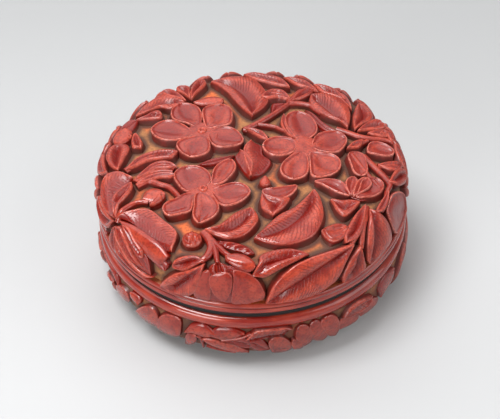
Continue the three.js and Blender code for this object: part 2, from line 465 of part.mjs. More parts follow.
// A closed leaf, petal or bud laid on a surface: two edges and a spine above, the same three below.
function blade(onSurface, left, right, rises) {
  const leftCurve = new THREE.SplineCurve(left);
  const rightCurve = new THREE.SplineCurve([left[0], ...right, left[left.length - 1]]);
  const wanted = Math.round(leftCurve.getLength() / FACET_LENGTH);
  const stations = Math.min(MOST_STATIONS, Math.max(FEWEST_STATIONS, wanted));
  const leftLine = leftCurve.getSpacedPoints(stations + 1);
  const rightLine = rightCurve.getSpacedPoints(stations + 1);
  const sunk = -MOTIF_SINK / RELIEF_DEPTH;
  const positions = [];
  const order = [];
  const put = (point, rise) => {
    positions.push(...onSurface(point.x, point.y, rise));
    return positions.length / 3 - 1;
  };
  const tipRise = (rises[0] + rises[1] + rises[2]) / 3;
  const rows = [];
  for (let i = 0; i <= stations + 1; i += 1) {
    if (i === 0 || i > stations) {
      const top = put(leftLine[i], tipRise);
      const bottom = put(leftLine[i], sunk);
      rows.push([[top, top, top], [bottom, bottom, bottom]]);
    } else {
      const spine = leftLine[i].clone().add(rightLine[i]).multiplyScalar(0.5);
      const line = [leftLine[i], spine, rightLine[i]];
      rows.push([line.map((point, k) => put(point, rises[k])), line.map((point) => put(point, sunk))]);
    }
  }
  const face = (a, b, c) => {
    if (a !== b && b !== c && c !== a) {
      order.push(a, b, c);
    }
  };
  const quad = (a, b, c, d) => {
    face(a, b, c);
    face(a, c, d);
  };
  for (let i = 0; i <= stations; i += 1) {
    const [topA, bottomA] = rows[i];
    const [topB, bottomB] = rows[i + 1];
    for (let k = 0; k < 2; k += 1) {
      quad(topA[k], topA[k + 1], topB[k + 1], topB[k]);
      quad(bottomA[k], bottomB[k], bottomB[k + 1], bottomA[k + 1]);
    }
    quad(topA[0], topB[0], bottomB[0], bottomA[0]);
    quad(topA[2], bottomA[2], bottomB[2], topB[2]);
  }
  const geometry = new THREE.BufferGeometry();
  geometry.setAttribute('position', new THREE.Float32BufferAttribute(positions, 3));
  geometry.setIndex(order);
  return solidOf(facingOut(geometry));
}

// A closed stem: a ridge with sloping sides that follows a path on a surface.
function stem(onSurface, path, width) {
  const count = path.length;
  const curve = new THREE.SplineCurve(path);
  const positions = [];
  const order = [];
  const rises = [-MOTIF_SINK / RELIEF_DEPTH, ...STEM_RISE_SHARES, -MOTIF_SINK / RELIEF_DEPTH];
  for (let i = 0; i <= count; i += 1) {
    const point = curve.getPointAt(i / count);
    const along = curve.getTangentAt(i / count);
    STEM_OFFSET_SHARES.forEach((offset, k) => {
      const x = point.x - along.y * width * offset;
      const y = point.y + along.x * width * offset;
      positions.push(...onSurface(x, y, rises[k]));
    });
  }
  const ring = STEM_OFFSET_SHARES.length;
  for (let i = 0; i < count; i += 1) {
    for (let k = 0; k < ring; k += 1) {
      const a = i * ring + k;
      const b = i * ring + ((k + 1) % ring);
      order.push(a, b, b + ring, a, b + ring, a + ring);
    }
  }
  for (let k = 1; k < ring - 1; k += 1) {
    const end = count * ring;
    order.push(0, k + 1, k, end, end + k, end + k + 1);
  }
  const geometry = new THREE.BufferGeometry();
  geometry.setAttribute('position', new THREE.Float32BufferAttribute(positions, 3));
  geometry.setIndex(order);
  return solidOf(facingOut(geometry));
}

// A round button, as a blade whose two edges are half circles.
function boss(onSurface, x, y, radius) {
  const arc = (from, to) => {
    const points = [];
    for (let i = 0; i <= FEWEST_STATIONS; i += 1) {
      const turn = from + ((to - from) * i) / FEWEST_STATIONS;
      points.push(new THREE.Vector2(x + radius * Math.cos(turn), y + radius * Math.sin(turn)));
    }
    return points;
  };
  return blade(onSurface, arc(0, TURN / 2), arc(TURN, TURN / 2).slice(1, -1), RISE_SHARES.boss);
}

function lidMotifs() {
  const parts = [];
  for (const [kind, left, right] of LID_MOTIF_SHARES) {
    const edges = [left, right].map((edge) => pairs(edge, LID_MAP_RADIUS, LID_MAP_RADIUS));
    parts.push(blade(onLid, edges[0], edges[1], RISE_SHARES[kind]));
  }
  for (const [path, width] of LID_STEM_SHARES) {
    parts.push(stem(onLid, pairs(path, LID_MAP_RADIUS, LID_MAP_RADIUS), STEM_WIDTH * width));
  }
  for (const [x, y, radius] of LID_BOSS_SHARES) {
    parts.push(boss(onLid, x * LID_MAP_RADIUS, y * LID_MAP_RADIUS, radius * LID_MAP_RADIUS));
  }
  const { from, to, count, slant, tip, foot } = LID_RIM_SHARES;
  for (let i = 0; i < count; i += 1) {
    const turn = TURN * (from + ((to - from) * i) / (count - 1));
    const lean = i % 2 === 0 ? slant : -slant;
    parts.push(rimLeaf(turn, turn + TURN * lean, foot * LID_MAP_RADIUS, tip * LID_MAP_RADIUS));
  }
  return parts;
}

// A plain pointed leaf between two polar places on the lid's map.
function rimLeaf(footTurn, tipTurn, footLength, tipLength) {
  const foot = new THREE.Vector2(footLength * Math.cos(footTurn), footLength * Math.sin(footTurn));
  const tip = new THREE.Vector2(tipLength * Math.cos(tipTurn), tipLength * Math.sin(tipTurn));
  const across = tip.clone().sub(foot).normalize();
  const side = new THREE.Vector2(-across.y, across.x).multiplyScalar(RIM_LEAF_WIDTH / 2);
  const edge = (sign) => RIM_LEAF_SHARES.map(([along, bulge]) => (
    foot.clone().lerp(tip, along).addScaledVector(side, sign * bulge)
  ));
  return blade(onLid, [foot, ...edge(1), tip], edge(-1), RISE_SHARES.leaf);
}

function baseMotifs() {
  const parts = [];
  const around = TURN * BASE_MAP_RADIUS;
  const add = ([kind, left, right], shift) => {
    const edges = [left, right].map((edge) => pairs(edge, around, BASE_MAP_HEIGHT));
    edges.flat().forEach((point) => point.setX(point.x + shift * around));
    parts.push(blade(onBase, edges[0], edges[1], RISE_SHARES[kind]));
  };
  BASE_MOTIF_SHARES.forEach((row) => add(row, 0));
  for (const [path, width] of BASE_STEM_SHARES) {
    parts.push(stem(onBase, pairs(path, around, BASE_MAP_HEIGHT), STEM_WIDTH * width));
  }
  const { from, to, count } = BASE_REPEAT_SPAN_SHARES;
  for (let i = 0; i < count; i += 1) {
    const shift = from + ((to - from) * i) / (count - 1);
    BASE_REPEAT_SHARES.forEach((row) => add(row, shift));
  }
  return parts;
}

// Where the coats end and the wood inside them starts.
const HOOP_OUTER = SEAM_RADIUS - RELIEF_DEPTH - COAT_THICKNESS - FIT_CLEARANCE;
const LID_HOOP_INNER = HOOP_OUTER - LID_HOOP_THICKNESS;
const LIP_OUTER = LID_HOOP_INNER - FIT_CLEARANCE - BLACK_THICKNESS - FIT_CLEARANCE;
const LIP_INNER = LIP_OUTER - LIP_THICKNESS;
const BASE_HOOP_INNER = LIP_OUTER + FIT_CLEARANCE;
const LID_FLANGE_TOP = SEAM_HEIGHT + COAT_THICKNESS;
const BASE_FLANGE_UNDERSIDE = SEAM_HEIGHT - COAT_THICKNESS;
const LID_PANEL_TOP = BOX_HEIGHT - RELIEF_DEPTH - COAT_THICKNESS - PANEL_BEDDING;
const LID_PANEL_UNDERSIDE = LID_PANEL_TOP - LID_PANEL_THICKNESS;
const LID_PANEL_EDGE_RADIUS = HOOP_OUTER - HOOP_CHAMFER - FIT_CLEARANCE;
const LIP_TOP = SEAM_HEIGHT + (LID_PANEL_UNDERSIDE - BLACK_THICKNESS - SEAM_HEIGHT) * LIP_RISE_SHARE;
const FLOOR_UNDERSIDE = RELIEF_DEPTH + COAT_THICKNESS;
const FLOOR_TOP = FLOOR_UNDERSIDE + FLOOR_THICKNESS;
const FOOT_OUTER = BELLY_FOOT_RADIUS - COAT_THICKNESS;
const FOOT_INNER = FOOT_OUTER - FOOT_WIDTH;
const FLANGE_INNER = FOOT_OUTER + FIT_CLEARANCE;
const SEAT_EDGE = SEAM_RADIUS - SEAM_GAP_DEPTH;

// The inner face of the base's coat at three heights, and the wood one fit clearance further in.
const BASE_WALL = BASE_WALL_SHARES.map((share) => (
  baseAt(share * BASE_MAP_HEIGHT, RELIEF_DEPTH + COAT_THICKNESS)));
const FLOOR_RADIUS = BASE_WALL[0][0] - FIT_CLEARANCE;

// The ground with its motifs joined on. Small closed pockets where motifs cross are filled with lacquer.
function carved(ground, motifs) {
  let solid = solidOf(ground);
  motifs.forEach((motif) => {
    solid = solid.add(motif);
  });
  return solid.decompose().reduce((best, part) => (part.volume() > best.volume() ? part : best));
}

function lidCoat() {
  const ground = LID_GROUND_SHARES.map((share) => lidAt(share * LID_MAP_RADIUS, RELIEF_DEPTH));
  ground[0][0] = 0;
  const beadTop = SEAM_HEIGHT + LID_BEAD_HEIGHT;
  const beadRadius = SEAM_RADIUS - LID_BEAD_INSET;
  const outer = [
    ...ground,
    [lidAt(LID_MAP_RADIUS - LID_BEAD_HEIGHT, RELIEF_DEPTH)[0], beadTop],
    [beadRadius - SEAM_ROUNDING, beadTop],
    [beadRadius, SEAM_HEIGHT + LID_BEAD_HEIGHT * LID_BEAD_SHARES.roll],
    [beadRadius, SEAM_HEIGHT + SEAM_ROUNDING],
    [SEAT_EDGE, SEAM_HEIGHT],
  ];
  const cavity = [
    [LID_HOOP_INNER, SEAM_HEIGHT],
    [LID_HOOP_INNER, LID_FLANGE_TOP],
    [HOOP_OUTER + FIT_CLEARANCE, LID_FLANGE_TOP],
    [HOOP_OUTER + FIT_CLEARANCE, LID_PANEL_UNDERSIDE - HOOP_CHAMFER * 2],
    [LID_PANEL_EDGE_RADIUS + FIT_CLEARANCE, LID_PANEL_TOP - LID_PANEL_EDGE_DROP + FIT_CLEARANCE],
    [LID_PANEL_FLAT_RADIUS, LID_PANEL_TOP],
    [0, LID_PANEL_TOP],
  ];
  const hollow = solidOf(turned([
    [0, SEAM_HEIGHT - COAT_THICKNESS],
    [LID_HOOP_INNER, SEAM_HEIGHT - COAT_THICKNESS],
    ...cavity,
  ]));
  return geometryOf(carved(turned([...outer, [0, SEAM_HEIGHT]]), lidMotifs()).subtract(hollow));
}

function baseCoat() {
  const ground = BASE_GROUND_SHARES.map((share) => baseAt(share * BASE_MAP_HEIGHT, RELIEF_DEPTH));
  const beadFoot = SEAM_HEIGHT - BASE_BEAD_HEIGHT;
  const outer = [
    [0, FLOOR_UNDERSIDE - COAT_THICKNESS],
    [FLANGE_INNER, FLOOR_UNDERSIDE - COAT_THICKNESS],
    ...ground,
    [baseAt(BASE_MAP_HEIGHT, RELIEF_DEPTH)[0], beadFoot],
    [SEAM_RADIUS - SEAM_ROUNDING, beadFoot],
    [SEAM_RADIUS, beadFoot + BASE_BEAD_HEIGHT * BASE_BEAD_SHARES.roll],
    [SEAM_RADIUS, beadFoot + BASE_BEAD_HEIGHT * BASE_BEAD_SHARES.groove],
    [SEAM_RADIUS - BEAD_GROOVE_DEPTH, beadFoot + BASE_BEAD_HEIGHT * BASE_BEAD_SHARES.upper],
    [SEAM_RADIUS - BEAD_GROOVE_DEPTH / 3, SEAM_HEIGHT - SEAM_ROUNDING],
    [SEAT_EDGE, SEAM_HEIGHT],
    [0, SEAM_HEIGHT],
  ];
  const cavity = [
    [0, FLOOR_UNDERSIDE],
    [BELLY_FOOT_RADIUS, FLOOR_UNDERSIDE],
    ...BASE_WALL,
    [HOOP_OUTER + FIT_CLEARANCE, BASE_FLANGE_UNDERSIDE],
    [BASE_HOOP_INNER, BASE_FLANGE_UNDERSIDE],
    [BASE_HOOP_INNER, SEAM_HEIGHT + COAT_THICKNESS],
    [0, SEAM_HEIGHT + COAT_THICKNESS],
  ];
  const below = [
    [0, 0],
    [FLANGE_INNER, 0],
    [FLANGE_INNER, FLOOR_UNDERSIDE + COAT_THICKNESS],
    [0, FLOOR_UNDERSIDE + COAT_THICKNESS],
  ];
  const solid = carved(turned(outer), baseMotifs());
  return geometryOf(solid.subtract(solidOf(turned(cavity))).subtract(solidOf(turned(below))));
}

function lidPanel() {
  return turned([
    [0, LID_PANEL_UNDERSIDE],
    [LID_PANEL_EDGE_RADIUS, LID_PANEL_UNDERSIDE],
    [LID_PANEL_EDGE_RADIUS, LID_PANEL_TOP - LID_PANEL_EDGE_DROP - FIT_CLEARANCE],
    [LID_PANEL_FLAT_RADIUS, LID_PANEL_TOP],
    [0, LID_PANEL_TOP],
  ]);
}

function lidHoop() {
  return turned([
    [LID_HOOP_INNER, LID_FLANGE_TOP],
    [HOOP_OUTER, LID_FLANGE_TOP],
    [HOOP_OUTER, LID_PANEL_UNDERSIDE - HOOP_CHAMFER * 3],
    [HOOP_OUTER - HOOP_CHAMFER, LID_PANEL_UNDERSIDE],
    [LID_HOOP_INNER, LID_PANEL_UNDERSIDE],
    [LID_HOOP_INNER, LID_FLANGE_TOP],
  ]);
}

function lidLining() {
  const outer = LID_HOOP_INNER - FIT_CLEARANCE;
  const inner = outer - BLACK_THICKNESS;
  return turned([
    [0, LID_PANEL_UNDERSIDE],
    [outer, LID_PANEL_UNDERSIDE],
    [outer, SEAM_HEIGHT + FIT_CLEARANCE],
    [inner, SEAM_HEIGHT + FIT_CLEARANCE],
    [inner, LID_PANEL_UNDERSIDE - BLACK_THICKNESS],
    [0, LID_PANEL_UNDERSIDE - BLACK_THICKNESS],
  ]);
}

function floorPanel() {
  return turned([
    [0, FLOOR_UNDERSIDE],
    [BELLY_FOOT_RADIUS - FIT_CLEARANCE, FLOOR_UNDERSIDE],
    [FLOOR_RADIUS, BASE_WALL[0][1]],
    [FLOOR_RADIUS, FLOOR_TOP],
    [0, FLOOR_TOP],
  ]);
}

function baseHoop() {
  return turned([
    [BASE_HOOP_INNER, FLOOR_TOP],
    [FLOOR_RADIUS, FLOOR_TOP],
    [HOOP_OUTER, BASE_WALL[1][1]],
    [HOOP_OUTER, BASE_FLANGE_UNDERSIDE],
    [BASE_HOOP_INNER, BASE_FLANGE_UNDERSIDE],
    [BASE_HOOP_INNER, FLOOR_TOP],
  ]);
}

function innerLip() {
  return turned([
    [LIP_INNER, FLOOR_TOP],
    [LIP_OUTER, FLOOR_TOP],
    [LIP_OUTER, LIP_TOP - LIP_ROUNDING],
    [LIP_OUTER - LIP_ROUNDING, LIP_TOP],
    [LIP_INNER, LIP_TOP],
    [LIP_INNER, FLOOR_TOP],
  ]);
}

function baseLining() {
  const outer = LIP_INNER - FIT_CLEARANCE;
  const inner = outer - BLACK_THICKNESS;
  return turned([
    [0, FLOOR_TOP],
    [outer, FLOOR_TOP],
    [outer, LIP_TOP - FIT_CLEARANCE],
    [inner, LIP_TOP - FIT_CLEARANCE],
    [inner, FLOOR_TOP + BLACK_THICKNESS],
    [0, FLOOR_TOP + BLACK_THICKNESS],
  ]);
}

function footRing() {
  return turned([
    [FOOT_INNER, FOOT_ROUNDING],
    [FOOT_INNER + FOOT_ROUNDING, 0],
    [FOOT_OUTER - FOOT_ROUNDING, 0],
    [FOOT_OUTER, FOOT_ROUNDING],
    [FOOT_OUTER, FLOOR_UNDERSIDE],
    [FOOT_INNER, FLOOR_UNDERSIDE],
    [FOOT_INNER, FOOT_ROUNDING],
  ]);
}

function undersideCoat() {
  return turned([
    [0, FLOOR_UNDERSIDE - BLACK_THICKNESS],
    [FOOT_INNER - FIT_CLEARANCE, FLOOR_UNDERSIDE - BLACK_THICKNESS],
    [FOOT_INNER - FIT_CLEARANCE, FLOOR_UNDERSIDE],
    [0, FLOOR_UNDERSIDE],
  ]);
}

function named(name, geometry, material) {
  const mesh = new THREE.Mesh(geometry, material);
  mesh.name = name;
  return mesh;
}

const sealBox = new THREE.Group();
sealBox.name = 'seal_box';
sealBox.add(
  named('base_carved_coat', baseCoat(), RED),
  named('base_floor_panel', floorPanel(), WOOD),
  named('base_wall_hoop', baseHoop(), WOOD),
  named('base_inner_lip', innerLip(), BLACKED_WOOD),
  named('base_foot_ring', footRing(), BLACKED_WOOD),
  named('base_black_lining', baseLining(), BLACK),
  named('base_underside_coat', undersideCoat(), BLACK),
  named('lid_carved_coat', lidCoat(), RED),
  named('lid_top_panel', lidPanel(), WOOD),
  named('lid_wall_hoop', lidHoop(), WOOD),
  named('lid_black_lining', lidLining(), BLACK),
);

export default sealBox;
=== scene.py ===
"""Dresses the round seal box in carved red lacquer over an ochre ground, with black lacquer inside."""

import math
from functools import partial

import bpy
import numpy as np
from mathutils import Matrix, Vector, kdtree


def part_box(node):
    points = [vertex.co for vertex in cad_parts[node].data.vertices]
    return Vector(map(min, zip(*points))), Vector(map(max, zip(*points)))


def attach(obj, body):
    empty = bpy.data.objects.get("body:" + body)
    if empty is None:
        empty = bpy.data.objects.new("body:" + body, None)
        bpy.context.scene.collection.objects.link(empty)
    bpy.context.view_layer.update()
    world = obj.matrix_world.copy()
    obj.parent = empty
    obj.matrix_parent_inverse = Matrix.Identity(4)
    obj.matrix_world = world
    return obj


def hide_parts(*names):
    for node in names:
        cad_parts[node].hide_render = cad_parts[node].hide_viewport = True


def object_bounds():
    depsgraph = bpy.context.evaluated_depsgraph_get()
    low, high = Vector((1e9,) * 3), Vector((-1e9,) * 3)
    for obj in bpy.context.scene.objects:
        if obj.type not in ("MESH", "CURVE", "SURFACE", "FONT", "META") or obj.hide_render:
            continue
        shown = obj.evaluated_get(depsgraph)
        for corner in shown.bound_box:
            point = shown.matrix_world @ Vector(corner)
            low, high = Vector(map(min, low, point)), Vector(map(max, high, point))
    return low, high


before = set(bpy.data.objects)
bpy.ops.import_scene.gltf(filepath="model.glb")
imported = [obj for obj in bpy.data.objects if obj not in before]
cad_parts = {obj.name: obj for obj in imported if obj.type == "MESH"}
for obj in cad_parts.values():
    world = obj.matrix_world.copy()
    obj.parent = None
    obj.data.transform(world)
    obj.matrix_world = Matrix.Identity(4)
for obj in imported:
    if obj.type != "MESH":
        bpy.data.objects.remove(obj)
CAD_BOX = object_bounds()

bl_info = {
    "name": "Carved lacquer seal box",
    "version": (1, 0, 0),
    "blender": (4, 5, 0),
    "location": "3D View > Sidebar > Seal Box",
    "description": "Builds a round seal box in carved red lacquer, and the studio it stands in",
    "category": "Object",
}

MM = 0.001
TURN = 2 * math.pi

# The outer form of the box in millimetres, as in the solid model
BOX_HEIGHT = CAD_BOX[1][2] / MM
SEAM_HEIGHT = 18.2
SEAM_RADIUS = 37.5
WIDEST_RADIUS = 38.0
DOME_DROP = 2.0
SHOULDER_REACH = 4.2
SHOULDER_FOOT_HEIGHT = 23.4
BELLY_HEIGHT = 11.0
BELLY_RADIUS = 38.4
BELLY_FOOT_RADIUS = 32.0

# The carving in millimetres, and the share of its width that a stem loses
RELIEF_DEPTH = 2.4
COAT_THICKNESS = 0.9
BASE_STRIP_END = 3.5
LOW_RELIEF_HEIGHT = 6.0
BASE_GROUND_END = 1.5
STEM_WIDTH = 1.8
STEM_TAPER = 0.25
RIM_LEAF_WIDTH = 8.2
LID_SWELL = 0.12
BASE_SWELL = 0.4
DRAFT = 0.95
ADDED_HALF_WIDTH = 0.5

# Heights in the carving as shares of its depth: 0 on the ground, 1 on the outer form
LID_GROUND_RISE = 0.16
BASE_GROUND_RISE = 0.4
BURIED = -0.1
FOOT_RISE = 0.35
LIFT_STEP = 0.02
STEM_EDGE_RISE = 0.50
STEM_ROUNDING = 0.36

# The beads on both sides of the seam, with the groove in the upper one and the dark gap between them
LID_BEAD_HEIGHT = 2.9
LID_BEAD_TOP = SEAM_HEIGHT + LID_BEAD_HEIGHT
LID_BEAD_UNDERSIDE = 18.3
GROOVE_HEIGHT = 19.88
BASE_BEAD_TOP = 16.4
BASE_BEAD_FOOT = 13.15
GAP_MIDDLE = (BASE_BEAD_TOP + SEAM_HEIGHT) / 2
SEAT_RADIUS = 36.2

# Radii and heights of the pieces inside, in millimetres, as in the solid model
HOOP_RADIUS = 34.2
HOOP_TOP = 17.3
COAT_INNER_RADIUS = 31.3
COAT_FOOT_RADIUS = 31.4
LIP_RADII = (29.6, 30.3, 31.0)
FOOT_RADII = (28.2, 29.6, 31.1)
FLOOR_UNDERSIDE = 3.3
FLOOR_TOP = 5.3
LINING = 0.45
LINING_CORNER = 1.15
LID_LINING_RADIUS = 31.75
LID_LINING_FOOT = 18.5
LID_LINING_TOP_RADIUS = 30.2
BASE_LINING_RADIUS = 29.3
UNDERSIDE_RADIUS = 27.9

# Half profiles, as radius and height in millimetres
LID_BEAD = [(36.85, LID_BEAD_TOP), (37.15, LID_BEAD_TOP - 0.3), (37.3, 20.4), (37.25, 20.0),
            (37.1, GROOVE_HEIGHT), (37.3, 19.72), (37.42, 19.2), (37.35, 18.6), (37.05, LID_BEAD_UNDERSIDE),
            (36.6, LID_BEAD_UNDERSIDE), (SEAT_RADIUS, LID_BEAD_UNDERSIDE), (SEAT_RADIUS, SEAM_HEIGHT)]
LID_COAT_INSIDE = [(32.05, SEAM_HEIGHT), (32.05, 19.1), (HOOP_RADIUS, 19.1), (HOOP_RADIUS, 26.1),
                   (33.2, 28.9), (14, 31.1), (0, 31.1)]
BASE_BEAD = [(36.9, BASE_BEAD_FOOT), (37.25, BASE_BEAD_FOOT + 0.25), (37.5, BASE_BEAD_FOOT + 0.8),
             (37.6, BASE_BEAD_FOOT + 1.5), (37.55, BASE_BEAD_FOOT + 2.1), (37.35, BASE_BEAD_FOOT + 2.6),
             (37.0, BASE_BEAD_TOP - 0.3), (36.4, BASE_BEAD_TOP), (SEAT_RADIUS, BASE_BEAD_TOP),
             (SEAT_RADIUS, SEAM_HEIGHT)]
BASE_COAT_FOOT = [(32.0, FLOOR_UNDERSIDE), (COAT_FOOT_RADIUS, FLOOR_UNDERSIDE), (COAT_FOOT_RADIUS, 2.4)]

# Where the inner side of the base's coat is drawn, as shares of the height of its strip
BASE_WALL_SHARES = (0.7, 0.5, 0.25)

# How finely the pieces are drawn and smoothed, the last three as degrees and metres
CURVE_POINTS = 97
LID_WALL_POINTS = 30
BASE_WALL_POINTS = 60
LID_GROUND_POINTS = 120
BASE_GROUND_POINTS = 48
STEPS_BETWEEN_POINTS = 20
CORNER_STEPS = 4
FEWEST_ROWS = 14
MOST_ROWS = 110
FEWEST_STEM_ROWS = 8
BUTTON_SIDES = 32
HEART_POINTS = 9
GROUND_STEPS = 360
CARVING_SMOOTH_ANGLE = 42
TURNING_SMOOTH_ANGLE = 35
MERGE_DISTANCE = 2e-6

